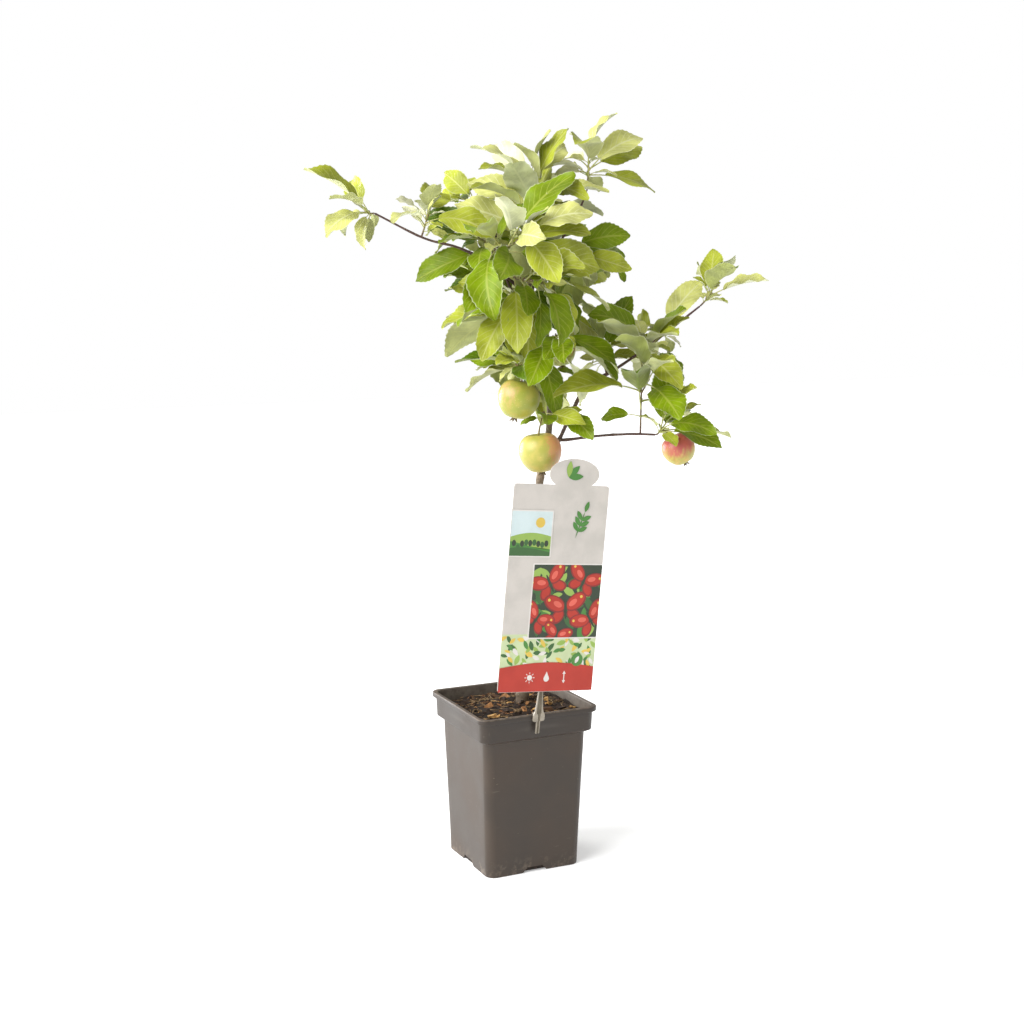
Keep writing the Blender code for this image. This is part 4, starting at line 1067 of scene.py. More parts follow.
def plain_skin(name, dark, light, wavelength, rough, relief):
    """A matt natural or moulded finish: two colours in blots of a wavelength, with fine relief."""
    matt = Finish(name, dark)
    fine = matt.noise(matt.place, wavelength / 6)
    matt.coat(matt.remap(matt.noise(matt.place, wavelength, 4.0, 0.6), 0.36, 0.66), light)
    matt.coat(matt.remap(fine, 0.45, 0.8, 0.0, 0.35), shade_of(dark, 0.7))
    return matt.done(matt.remap(fine, 0.3, 0.7, rough - 0.08, min(1.0, rough + 0.08)), fine, relief)


ARC_STEPS = 10
SIDE_STEPS = 14


def round_corners(half_x, half_y, corner, steps):
    """x and y along the four corner arcs of a rectangle round the origin."""
    arc = (np.arange(4)[:, None] + np.linspace(0, 1, steps + 1)) * math.pi / 2
    middle = arc.mean(1, keepdims=True)
    return [np.sign(wave(middle)) * (half - corner) + corner * wave(arc)
            for wave, half in ((np.cos, half_x), (np.sin, half_y))]


def square_rings(halves, corners, heights, bow=0.0):
    """Rings on squares with round corners: corner arcs, then sides that are drawn in by bow * 4 w (1 - w).

    halves, corners and heights hold one value for each ring, and w runs along a side.
    """
    halves, corners, heights = (np.asarray(v, float)[:, None, None] for v in (halves, corners, heights))
    w = np.linspace(0, 1, SIDE_STEPS + 1)[1:-1]
    middle = (np.arange(1, 5) * math.pi / 2)[:, None]
    flat = []
    for v, way in zip(round_corners(halves, halves, corners, ARC_STEPS), (np.cos(middle), np.sin(middle))):
        first, last = v[..., -1:], np.roll(v[..., :1], -1, axis=1)
        side = first + (last - first) * w - bow * 4 * w * (1 - w) * way
        flat.append(np.concatenate([v, side], -1).reshape(len(halves), -1))
    return np.stack([*flat, np.broadcast_to(heights[:, 0], flat[0].shape)], -1)


def soften(profile, radius, steps=5):
    """A profile with round corners: at each, a parabola between points a radius before and after it."""
    profile = np.array(profile, float)
    before, here, after = profile[:-2], profile[1:-1], profile[2:]
    back, ahead = before - here, after - here
    back_length, ahead_length = (np.linalg.norm(v, axis=1)[:, None] for v in (back, ahead))
    start = here + back / back_length * np.minimum(radius, 0.45 * back_length)
    end = here + ahead / ahead_length * np.minimum(radius, 0.45 * ahead_length)
    t = np.linspace(0, 1, steps)[:, None, None]
    curve = (1 - t) ** 2 * start + 2 * t * (1 - t) * here + t**2 * end
    return np.vstack([profile[:1], curve.transpose(1, 0, 2).reshape(-1, 2), profile[-1:]])


def band_half(height):
    """Half the width of the rim band, which narrows a little from the lip down to the band's foot."""
    share = (POT_HEIGHT - height) / POT_BAND_HEIGHT
    return POT_BAND_HALF + (POT_BAND_FOOT_HALF - POT_BAND_HALF) * share


def pot_profile():
    """Half width and height up the outside of the pot, over its lip and down inside it to the floor."""
    band_foot = POT_HEIGHT - POT_BAND_HEIGHT
    lip_foot = POT_HEIGHT - POT_LIP_HEIGHT
    wall = POT_WALL
    return [
        (POT_FOOT_HALF - 0.006, 0.0),
        (POT_FOOT_HALF, 0.0),
        (POT_FOOT_HALF + 0.0008, 0.030),
        (POT_BODY_HALF - 0.0009, band_foot - 0.030),
        (POT_BODY_HALF, band_foot - POT_SHOULDER),
        (POT_BAND_FOOT_HALF, band_foot),
        (POT_BAND_HALF, lip_foot),
        (POT_LIP_HALF, lip_foot),
        (POT_LIP_HALF, POT_HEIGHT),
        (POT_BAND_HALF - wall, POT_HEIGHT),
        (POT_BAND_FOOT_HALF - wall, band_foot + wall),
        (POT_BODY_HALF - wall, band_foot + wall - POT_SHOULDER),
        (POT_FOOT_HALF - wall, POT_FLOOR),
        (POT_FOOT_HALF - 0.012, POT_FLOOR),
    ]


def build_pot(material):
    """The pot's profile carried round a square with round corners, and a notch in the foot of each side."""
    halves, heights = soften(pot_profile(), POT_ROUNDING).T
    rings = square_rings(halves, np.full(len(halves), POT_CORNER), heights, POT_BOW)
    shape = skin(rings, np.array([0, 0, heights[0]]), np.array([0, 0, heights[-1]]))
    outside, inside = -POT_BODY_HALF - MM, -POT_FOOT_HALF + NOTCH_DEPTH
    slope = (NOTCH_FOOT_WIDTH - NOTCH_TOP_WIDTH) / 2 / NOTCH_HEIGHT
    notches = []
    for turn in np.arange(4) * math.pi / 2:
        rings = []
        for height in (-MM, NOTCH_HEIGHT):
            half = NOTCH_TOP_WIDTH / 2 + slope * (NOTCH_HEIGHT - height)
            x, y = np.array([-half, half, half, -half]), np.array([outside, outside, inside, inside])
            rings.append(np.column_stack([*swing(x, y, turn), np.full(4, height)]))
        notches.append(capped(np.array(rings)))
    cutter = put("notches", mesh_of("notches", join(notches)))
    pot = make_piece("nursery_pot", shape, [material], ["pot"])
    adjust(pot.modifiers.new("notches", "BOOLEAN"), object=cutter, operation="DIFFERENCE", solver="EXACT")
    bpy.context.view_layer.update()
    pot_cut = bpy.data.meshes.new_from_object(pot.evaluated_get(bpy.context.evaluated_depsgraph_get()))
    pot.modifiers.clear()
    pot.data = pot_cut
    pot_cut.set_sharp_from_angle(angle=math.radians(POT_CREASE))
    bpy.data.objects.remove(cutter, do_unlink=True)


def pot_material():
    """Recycled polypropylene, injection moulded: satin grey-brown, with a pale line along its upper rim that
    is partly dusty and partly a painted highlight, painted light on its inner wall above the soil, painted
    shade over the band and lip, dried splashes near the foot, and fine pale scuffs."""
    pot = Finish("recycled pot plastic", "#2f251b", Specular_IOR_Level=0.5, IOR=1.49)
    east, north, height = pot.apart(pot.place)
    clouds = pot.noise(pot.place, 70 * MM, 3.0, 0.5)
    splash = pot.noise(pot.place, 7 * MM, 5.0, 0.65)
    across = pot.noise(pot.coords((1.0, 1.0, 9.0)), 22 * MM, 5.0, 0.7)
    pot.coat(pot.remap(clouds, 0.35, 0.65), "#372b20")
    # Painted shade: the band and lip above the band's foot are darkened
    band_foot = POT_HEIGHT - POT_BAND_HEIGHT
    pot.coat(pot.times(pot.remap(height, band_foot - 0.5 * MM, band_foot + 0.5 * MM), 0.45), "#1c130a")
    pot.coat(pot.times(pot.remap(across, 0.62, 0.74, 0.0, 0.35), pot.remap(clouds, 0.4, 0.6)), "#7a7169")
    # Pale line along the lip's top: partly dusty, partly a painted highlight
    rim_dust_and_highlight = pot.times(pot.remap(height, POT_HEIGHT - 1.6 * MM, POT_HEIGHT - 0.2 * MM),
                     pot.remap(splash, 0.40, 0.66, 0.25, 0.75))
    pot.coat(rim_dust_and_highlight, "#75675a")
    east, north = pot.maths("ABSOLUTE", east), pot.maths("ABSOLUTE", north)
    wall = POT_BAND_FOOT_HALF - POT_WALL
    corner = 2 * wall - (2 - math.sqrt(2)) * (POT_CORNER - POT_WALL)
    # Painted light: the inner wall above the soil is lightened
    inner = pot.remap(height, SOIL_LEVEL - 12 * MM, SOIL_LEVEL - 6 * MM)
    for operation, edge in (("MAXIMUM", wall), ("ADD", corner)):
        out = pot.maths(operation, east, north)
        inner = pot.times(inner, pot.remap(out, edge + 1.2 * MM, edge + 1.8 * MM, 1.0, 0.0))
    pot.coat(pot.times(inner, pot.remap(splash, 0.3, 0.6, 0.5, 1.0)), "#5c544b")
    low = pot.remap(height, 0.0, 26 * MM, 1.0, 0.0)
    pot.coat(pot.times(low, pot.remap(splash, 0.5, 0.68, 0.0, 0.55)), "#6f6152")
    pot.coat(pot.remap(pot.cells(pot.place, 11 * MM), 0.018, 0.045, 0.75, 0.0), "#a39684")
    rough = pot.maths("ADD", pot.remap(clouds, 0.3, 0.7, 0.36, 0.50), pot.times(rim_dust_and_highlight, 0.3))
    return pot.done(rough, pot.noise(pot.place, 0.9 * MM, 2.0), 0.10 * MM)


SOIL_RINGS = 44
SOIL_SHRINK = POT_WALL + GAP
SOIL_WIDTH = 0.075
SOIL_WAVES = (0.030, 0.012, 0.006)
SOIL_WAVE_DEPTHS = (0.0011, 0.0010, 0.0007)
COLLAR_WIDTH = 0.016
COLLAR_HEIGHT = 0.0007
CHIP_COUNT = 640
CHIP_LARGE_SHARE = 0.14
CHIP_LARGE = (7, 14)
CHIP_SMALL = (2, 5.5)
CHIP_WIDTH_SHARE = (0.25, 0.7)
CHIP_HEIGHT_SHARE = (0.12, 0.35)
CHIP_CORNER_SHARE = (0.45, 1.15)
CHIP_TILT = 0.42
CHIP_TONE_SHARES = [0.52, 0.82, 0.95]
FIBRE_COUNT = 300
FIBRE_LENGTH = (4, 13)
FIBRE_RADIUS = (0.22, 0.60)
FIBRE_LIFT = (0.4, 1.6)
TRUNK_ROOM = 9 * MM


def trunk_foot():
    """Middle of the trunk's foot in the model's frame."""
    return to_row([LIMBS["trunk"].points[0]])[0][:2]


def soil_height(x, y):
    """Height of the soil: a low collar at the trunk, then a dip with the square of the way out, and waves."""
    rng = seeded("soil")
    out = np.hypot(x - trunk_foot()[0], y - trunk_foot()[1])
    rough = waves(np.stack([x, y], -1), rng, SOIL_WAVES, SOIL_WAVE_DEPTHS)
    near = np.clip(out / COLLAR_WIDTH, 0, 1)
    return SOIL_LEVEL - SOIL_DIP * (out / SOIL_WIDTH) ** 2 + rough * near + COLLAR_HEIGHT * (1 - near)


def build_soil(material):
    """Soil block: square rings up its sides, then rings drawn in to the trunk's foot over an uneven top."""
    band_foot = POT_HEIGHT - POT_BAND_HEIGHT
    rim, step = SOIL_LEVEL - SOIL_DIP - 2 * MM, band_foot + SOIL_SHRINK
    halves = np.array([POT_FOOT_HALF, POT_BODY_HALF, POT_BAND_FOOT_HALF, band_half(rim)]) - SOIL_SHRINK
    heights = [POT_FLOOR + GAP, step - POT_SHOULDER, step, rim]
    side_rings = square_rings(halves, np.full(4, POT_CORNER), heights)
    rim = side_rings[-1:, :, :2]
    share = np.linspace(1, 0.02, SOIL_RINGS)[:, None, None]
    flat = trunk_foot() + share * (rim - trunk_foot())
    top = np.concatenate([flat, soil_height(flat[..., 0], flat[..., 1])[..., None]], -1)
    rings = np.concatenate([side_rings, top])
    middle = np.array([*trunk_foot(), SOIL_LEVEL + COLLAR_HEIGHT])
    shape = skin(rings, np.array([0, 0, heights[0]]), middle)
    make_piece("potting_soil", shape, [material], ["soil"])


def scattered(rng, count, inset):
    """Seeded places on the soil, clear of the trunk's foot and of the pot's wall."""
    half = band_half(SOIL_LEVEL) - SOIL_SHRINK - inset
    x, y = rng.uniform(-half, half, (2, 3 * count))
    clear = np.hypot(x - trunk_foot()[0], y - trunk_foot()[1]) > TRUNK_ROOM
    x, y = x[clear][:count], y[clear][:count]
    return np.stack([x, y, soil_height(x, y)], -1)


def turns_about(axis, angles):
    """Matrices that turn by each angle about X (0) or Z (2)."""
    first, second = (axis + 1) % 3, (axis + 2) % 3
    made = np.zeros((len(angles), 3, 3))
    made[:, axis, axis] = 1
    made[:, first, first] = made[:, second, second] = np.cos(angles)
    made[:, second, first] = np.sin(angles)
    made[:, first, second] = -np.sin(angles)
    return made


def rotations(rng, count, tilt):
    """Seeded turns about Z, then a tilt about a level axis, as matrices."""
    turn, lean, way = rng.uniform(0, TAU, count), rng.normal(0, tilt, count), rng.uniform(0, TAU, count)
    return turns_about(2, way) @ turns_about(0, lean) @ turns_about(2, turn - way)


def build_chips(materials):
    """Bark chips and crumbs: boxes of seeded sizes whose corners are moved at random, laid on the soil."""
    rng = seeded("chips")
    places = scattered(rng, CHIP_COUNT, 6 * MM)
    count = len(places)
    large = rng.random(count) < CHIP_LARGE_SHARE
    length = np.where(large, rng.uniform(*CHIP_LARGE, count), rng.uniform(*CHIP_SMALL, count)) * MM
    size = length[:, None] * np.column_stack(
        [np.ones(count), rng.uniform(*CHIP_WIDTH_SHARE, count), rng.uniform(*CHIP_HEIGHT_SHARE, count)])
    square = ((-0.5, -0.5), (0.5, -0.5), (0.5, 0.5), (-0.5, 0.5))
    cube = np.array([(x, y, z) for z in (-0.5, 0.5) for x, y in square])
    corners = cube * rng.uniform(*CHIP_CORNER_SHARE, (count, 8, 3)) * size[:, None]
    points = np.einsum("nij,nkj->nki", rotations(rng, count, CHIP_TILT), corners) + places[:, None]
    points[..., 2] += (0.20 * size[:, 1])[:, None]
    box = np.array([(0, 3, 2, 1), (4, 5, 6, 7), (0, 1, 5, 4), (1, 2, 6, 5), (2, 3, 7, 6), (3, 0, 4, 7)])
    faces = (box[None] + 8 * np.arange(count)[:, None, None]).reshape(-1, 4)
    shade = rng.random(count) + 0.18 * large
    kinds = np.repeat(np.searchsorted(CHIP_TONE_SHARES, shade), len(box))
    make_piece("bark_chips", (points.reshape(-1, 3), [faces]), materials, kinds=kinds, sharp=0)


def build_fibres(material):
    """Strands of coir and fine root on the soil: short sagging tubes in seeded directions."""
    rng = seeded("fibres")
    made = []
    for place in scattered(rng, FIBRE_COUNT, 10 * MM):
        length, heading = rng.uniform(*FIBRE_LENGTH) * MM, rng.uniform(0, TAU)
        t = np.linspace(-0.5, 0.5, 6)
        bend = rng.normal(0, 0.8) * t**2
        along = np.array([math.cos(heading), math.sin(heading), 0])
        across = np.array([-along[1], along[0], 0])
        path = place + length * (t[:, None] * along + bend[:, None] * across)
        path[:, 2] += rng.uniform(*FIBRE_LIFT) * MM + rng.normal(0, 0.12) * length * t
        made.append(tube_skin(path, np.full(6, rng.uniform(*FIBRE_RADIUS) * MM), 4))
    make_piece("soil_fibres", join(made), [material])


CARD_FRONT = -POT_LIP_HALF - GAP - STEM_THICKNESS - GAP - CARD_THICKNESS
PRINT_THICKNESS = 0.03 * MM
LAYER = 0.002 * MM


def disc(centre, width, height, steps=40, turn=0.0):
    """Outline of an ellipse."""
    a = np.arange(steps) * TAU / steps
    return turned_outline(np.stack([width / 2 * np.cos(a), height / 2 * np.sin(a)], -1), centre, turn)


def turned_outline(outline, centre, turn):
    """An outline turned about the origin and then moved to a centre."""
    return np.stack(swing(*np.transpose(outline), turn), -1) + centre


def leaf_outline(centre, length, width, turn):
    """Pointed oval: half width (width / 2) sin(pi s)^0.8 along its length s."""
    s = np.linspace(0, 1, 17)
    side = width / 2 * np.maximum(0, np.sin(math.pi * s)) ** 0.8
    x = np.concatenate([(s - 0.5) * length, (s[-2:0:-1] - 0.5) * length])
    return turned_outline(np.stack([x, np.concatenate([side, -side[-2:0:-1]])], -1), centre, turn)


def panel(left, right, low, high, corner=1.0 * MM):
    """Outline of a rectangle with round corners."""
    x, y = round_corners((right - left) / 2, (high - low) / 2, corner, 4)
    return np.column_stack([(left + right) / 2 + x.ravel(), (low + high) / 2 + y.ravel()])


def card_outline():
    """Outline of the card about its middle: a rectangle with round corners and an oval head on top."""
    half_width, half_height = CARD_WIDTH / 2, CARD_HEIGHT / 2
    body = panel(-half_width, half_width, -half_height, half_height, CARD_CORNER)
    dip = math.asin((half_height - HEAD_CENTRE[1]) / HEAD_HALF_HEIGHT)
    a = np.linspace(dip, math.pi - dip, 36)[:, None]
    head = np.array(HEAD_CENTRE) + np.hstack([HEAD_HALF_WIDTH * np.cos(a), HEAD_HALF_HEIGHT * np.sin(a)])
    return np.vstack([body[:5], head, body[5:]])


def on_card(outline, depth):
    """Points of the card's plane in the model's frame, at a depth behind the card's front."""
    x, up = swing(*np.transpose(outline), -CARD_LEAN)
    return np.column_stack([CARD_CENTRE[0] + x, np.full(len(x), CARD_FRONT + depth), CARD_CENTRE[1] + up])


def plate(outline, front, back, heart=None):
    """Closed flat plate from an outline: two rims joined by a wall, each closed by a fan round its heart."""
    heart = np.mean(outline, axis=0) if heart is None else np.array(heart)
    rings = np.array([on_card(outline, back), on_card(outline, front)])
    return skin(rings, on_card([heart], back)[0], on_card([heart], front)[0])


def printed(outline, layer):
    """A patch of print: a very thin plate on the card's front, in front of the layers under it."""
    front = -PRINT_THICKNESS - layer * LAYER
    return plate(outline, front, front + PRINT_THICKNESS)


def sprig(foot, length, turn, pairs, leaf):
    """A stalk with pairs of pointed leaves and one at its tip."""
    way = np.array([math.cos(turn), math.sin(turn)])
    made = [leaf_outline(foot + 0.5 * length * way, length, 0.05 * length, turn)]
    for k in range(pairs):
        for aim in (turn - 0.85, turn + 0.85):
            middle = (foot + (0.25 + 0.6 * k / pairs) * length * way
                      + 0.5 * leaf * np.array([math.cos(aim), math.sin(aim)]))
            made.append(leaf_outline(middle, leaf, 0.42 * leaf, aim))
    return made + [leaf_outline(foot + (length + 0.4 * leaf) * way, leaf, 0.42 * leaf, turn)]


def hill(left, right, low, high, swell, phase, sweep=2.6, steps=31):
    """Outline of a hill: a flat foot under high + swell * sin(phase + sweep s), s from 0 to 1 across."""
    s = np.linspace(0, 1, steps)
    top = np.column_stack([left + s * (right - left), high + swell * np.sin(phase + sweep * s)])
    return np.vstack([[left, low], [right, low], top[::-1]])


# A butterfly's spots from the lowest up, as shares of its size: ink, place, length, width and turn. The
# wings' spots come on both sides, and the body's once
WING_SPOTS = [
    ("dark red", 0.21, -0.17, 0.40, 0.28, -0.7), ("red", 0.20, -0.16, 0.32, 0.21, -0.7),
    ("dark red", 0.28, 0.15, 0.60, 0.37, 0.55), ("red", 0.27, 0.15, 0.52, 0.30, 0.55),
    ("light red", 0.20, 0.13, 0.24, 0.13, 0.55), ("yellow", 0.42, 0.25, 0.07, 0.07, 0.0),
]
BODY_SPOT = ("night green", 0.0, 0.0, 0.07, 0.50, 0.0)

# Butterflies on their panel: place, size and turn
BUTTERFLIES = [
    (0.022, 0.064, 0.047, 0.5), (0.066, 0.067, 0.044, -0.4), (0.045, 0.034, 0.050, 0.1),
    (0.008, 0.022, 0.040, -0.6), (0.079, 0.021, 0.045, 0.6), (0.036, 0.002, 0.036, -0.3),
]

# Hills of the landscape from the farthest: ink, height, swell and phase
HILLS = [("leaf green", 0.021, 0.006, 0.2), ("green", 0.013, 0.005, 2.2), ("dark green", 0.006, 0.004, 0.9)]


def card_print():
    """The label's own plain design, as ink and outline from the lowest layer to the topmost.

    A panel of red butterflies on leaves stands at the right, a small landscape at the left above it, a leafy
    sprig at the top and rows of small leaves below, over a red foot with a curved top and three plain signs.
    """
    edge = 0.5 * MM
    left, right, low = -CARD_WIDTH / 2 + edge, CARD_WIDTH / 2 - edge, -CARD_HEIGHT / 2 + edge
    rng = seeded("print")
    patches = []

    def lay(ink, *outlines):
        patches.extend((ink, outline) for outline in outlines)

    def crop(outline, box):
        return np.clip(outline, (box[0], box[2]), (box[1], box[3]))

    def strew(inks, count, box, longest):
        for k in range(count):
            place = (rng.uniform(box[0] + MM, box[1] - MM), rng.uniform(box[2] + MM, box[3] - MM))
            size = longest * rng.uniform(0.6, 1.0)
            leaf = leaf_outline(place, size, rng.uniform(0.36, 0.5) * size, rng.uniform(0, math.pi))
            lay(inks[k % len(inks)], crop(leaf, box))

    def butterfly(centre, size, turn, box):
        spots = [(spot, way) for way in (-1, 1) for spot in WING_SPOTS] + [(BODY_SPOT, 1)]
        for (ink, x, up, length, width, aim), way in spots:
            outline = disc((x * way * size, up * size), length * size, width * size, 26, aim * way)
            lay(ink, crop(turned_outline(outline, centre, turn), box))

    # Bed of small leaves along the foot
    lay("pale green", panel(left, right, low + 0.020, low + 0.068, 0.0006))
    bed = (left, right, low + 0.029, low + 0.066)
    strew(("green", "dark green", "yellow", "white", "leaf green"), 84, bed, 0.013)

    # Panel of red butterflies at the right
    box = (left + 0.034, right, low + 0.064, low + 0.150)
    lay("white", panel(box[0] - 0.0016, box[1], box[2] - 0.0016, box[3] + 0.0016))
    lay("night green", panel(*box))
    strew(("dark green", "green", "dark green", "leaf green"), 44, box, 0.024)
    for x, up, size, turn in BUTTERFLIES:
        butterfly((box[0] + x, box[2] + up), size, turn, box)

    # Landscape at the left above it
    box = (left, left + 0.052, low + 0.160, low + 0.212)
    lay("white", panel(box[0], box[1] + 0.0014, box[2] - 0.0014, box[3] + 0.0014))
    lay("sky", panel(*box))
    lay("yellow", disc((box[0] + 0.037, box[3] - 0.013), 0.012, 0.012))
    for ink, height, swell, phase in HILLS:
        lay(ink, hill(*box[:3], box[2] + height, swell, phase))
    for k in range(9):
        place = np.array([box[0] + 0.005 + 0.0052 * k, box[2] + 0.012 + rng.uniform(-0.004, 0.006)])
        lay("dark green" if k % 2 else "night green", disc(place, 0.0052, 0.0075, 20))

    # Sprig at the top right and three small leaves in the head
    lay("green", *sprig(np.array([0.022, 0.060]), 0.034, 1.25, 3, 0.013))
    for turn in (0.1, 0.8, 1.5):
        place = np.array(HEAD_CENTRE) + [-0.008 + 0.010 * math.cos(turn), -0.004 + 0.010 * math.sin(turn)]
        lay("green" if turn < 1 else "leaf green", leaf_outline(place, 0.019, 0.0075, turn))

    # Red foot with a curved top, a green disc and three white signs: sun, drop and height
    lay("red", hill(left, right, low, low + 0.0285, 0.006, 0.0, math.pi, 25))
    lay("green", disc((left + 0.100, low + 0.037), 0.0155, 0.0155))
    lay("white", leaf_outline((left + 0.100, low + 0.037), 0.0095, 0.0045, 1.1))
    sun = np.array([-0.022, low + 0.0165])
    lay("white", disc(sun, 0.0065, 0.0065, 24))
    for a in np.arange(8) * TAU / 8:
        ray = panel(-0.0011, 0.0011, -0.0004, 0.0004, 0.0002)
        lay("white", turned_outline(ray, sun + 0.0054 * np.array([math.cos(a), math.sin(a)]), a))
    drop = np.array([0.0, low + 0.0150])
    a = np.linspace(-1.2 * math.pi, 0.2 * math.pi, 21)
    lay("white", np.vstack([drop + 0.0036 * np.column_stack([np.cos(a), np.sin(a)]), drop + [0, 0.0085]]))
    tall = np.array([0.023, low + 0.0165])
    lay("white", panel(tall[0] - 0.0006, tall[0] + 0.0006, tall[1] - 0.0065, tall[1] + 0.0065, 0.0003))
    for way in (-1, 1):
        tip = tall + [0, way * 0.0075]
        lay("white", tip + way * np.array([(0, 0), (-0.0022, -0.0036), (0.0022, -0.0036)]))
    return patches


INK_COLOURS = {
    "white": "#d3cec8", "red": "#aa240a", "dark red": "#7d1712", "light red": "#cf5a49", "green": "#3f7a2c",
    "dark green": "#2f5a26", "pale green": "#b9c69a", "night green": "#25341f", "yellow": "#d2b348",
    "leaf green": "#8aa84a", "sky": "#c3d2d3",
}


def card_material(name, base, rough):
    """Laminated label card: offset print under a clear film, softly glossy, with faint handling marks."""
    card = Finish(name, base, Specular_IOR_Level=0.45, Coat_Weight=0.2, Coat_Roughness=0.2)
    marks = card.noise(card.place, 24 * MM, 4.0)
    card.coat(card.remap(marks, 0.35, 0.7), shade_of(base, 0.95))
    card.coat(card.remap(card.noise(card.place, 0.7 * MM, 1.0), 0.4, 0.8, 0.0, 0.10), shade_of(base, 0.85))
    return card.done(card.remap(marks, 0.3, 0.7, rough - 0.06, rough + 0.1), marks, 0.08 * MM)


def build_label():
    """The card and its print: one piece for the card and one joined piece for all inks."""
    card = card_material("label card", "#bfb9b2", 0.42)
    make_piece("label_card_face", plate(card_outline(), 0.0, CARD_THICKNESS, (HEAD_CENTRE[0], 0.112)), [card],
               ["label_card"], sharp=40)
    names = list(INK_COLOURS)
    patches = card_print()
    shapes = [printed(outline, layer) for layer, (_, outline) in enumerate(patches)]
    kinds = [np.full(face_count(shape), names.index(ink)) for shape, (ink, _) in zip(shapes, patches)]
    materials = [card_material(f"{ink} ink", colour, 0.38) for ink, colour in INK_COLOURS.items()]
    make_piece("label_print", join(shapes), materials, kinds=np.concatenate(kinds), sharp=40)


# Stations up the label's stem: height from the lip's top, width, half width of its channel as a share, the
# channel's depth as a share and how far its front stands out, in thicknesses
STEM_STATIONS = np.array([
    (-TAIL_DROP, 0.0042, 0.20, 0.45, 1.0), (-TAIL_DROP + 0.0006, TAIL_WIDTH, 0.20, 0.45, 1.0),
    (-CLIP_DROP - 0.0002, TAIL_WIDTH, 0.18, 0.45, 1.0), (-CLIP_DROP, 0.0112, 0.05, 0.3, 1.2),
    (-CLIP_DROP + 0.0007, 0.0136, 0.05, 0.4, 1.7), (-CLIP_DROP + 0.0020, CLIP_WIDTH, 0.06, 0.5, 1.9),
    (-0.0012, CLIP_WIDTH, 0.06, 0.5, 1.9), (CLIP_RISE - 0.0012, 0.0139, 0.10, 0.5, 1.7),
    (CLIP_RISE, 0.0124, 0.20, 0.5, 1.3), (NECK_FOOT, NECK_WIDTH, 0.24, 0.55, 1.0),
    (0.5 * (NECK_FOOT + NECK_TOP), 0.0080, 0.26, 0.55, 1.0), (NECK_TOP, STEM_WIDTH, 0.24, 0.55, 1.0),
    (0.5 * STEM_TOP, STEM_WIDTH, 0.24, 0.55, 1.0), (STEM_TOP, STEM_WIDTH, 0.24, 0.55, 1.0)])


def build_stem(materials):
    """The label's stem: a strip with a channel down its front. It leans like the card and hooks on the lip.

    Each station is a flat block of the width, whose front stands out by the thickness times its last share
    and is let in by the channel's depth across the channel's width; the channel is darker, as painted shade.
    """
    foot_x, foot_z = STEM_FOOT
    up, width, channel, depth, out = STEM_STATIONS.T[:, :, None]
    middle = foot_x + math.tan(CARD_LEAN) * up
    zero, half = np.zeros_like(up), np.full_like(up, 0.5)
    slope = channel + 0.05
    across = np.concatenate([-half, half, half, slope, channel, -channel, -slope, -half], 1)
    ahead = np.concatenate([zero, zero, out - 0.15, out, out - depth, out - depth, out, out - 0.15], 1)
    x = middle + width * across
    y = -POT_LIP_HALF - GAP - STEM_THICKNESS * ahead
    rings = np.stack([x, y, np.broadcast_to(foot_z + up, x.shape)], -1)
    # The channel's faces take the second, darker material: painted shade in the recess
    kinds = np.concatenate([np.tile([0, 0, 0, 1, 1, 1, 0, 0], len(rings) - 1), np.zeros(16, int)])
    outside, leg = -POT_LIP_HALF - GAP - STEM_THICKNESS / 2, POT_HEIGHT - HOOK_LEG
    inside = -band_half(leg) + POT_WALL + GAP + STEM_THICKNESS / 2
    over = POT_HEIGHT + GAP + STEM_THICKNESS / 2
    line = soften(np.array([(outside, over), (inside, over), (inside, leg)]), 1.2 * MM)
    path = np.column_stack([np.full(len(line), foot_x), line])
    tangent = unit(np.gradient(line, axis=0))
    normal = np.column_stack([np.zeros(len(line)), -tangent[:, 1], tangent[:, 0]])
    section = np.array([(-1, -1), (1, -1), (1, 1), (-1, 1)])
    thick = STEM_THICKNESS / 2 * section[:, 1, None] * normal[:, None]
    hook = capped(path[:, None] + thick + HOOK_WIDTH / 2 * section[:, :1] * np.array([1.0, 0, 0]))
    kinds = np.concatenate([kinds, np.zeros(face_count(hook), int)])
    make_piece("label_clip", join([capped(rings), hook]), materials, ["label_stem"],
               kinds=kinds, sharp=35)


def build_limbs():
    """Bark over all limbs: the trunk with its leader in one piece and the boughs in another."""
    lines = {name: limb_line(name) for name in LIMBS}
    rng = seeded("bark")
    old = bark_material("trunk bark", "#675b49", "#7a6a58", "#a99d84", 0.72)
    young = bark_material("bough bark", "#54413a", "#4a2f2b", "#9b8c78", 0.6)
    for piece, material, names, sides in (
            ("trunk_bark", old, ("trunk", "leader"), TRUNK_SIDES),
            ("bough_bark", young, [name for name in LIMBS if name not in ("trunk", "leader")], BOUGH_SIDES)):
        grown = [bark_skin(name, lines[name], sides, rng) for name in names]
        uv = np.vstack([surface for _, surface in grown])
        make_piece(piece, turned([limb for limb, _ in grown]), [material], names, uv=uv)
    return lines


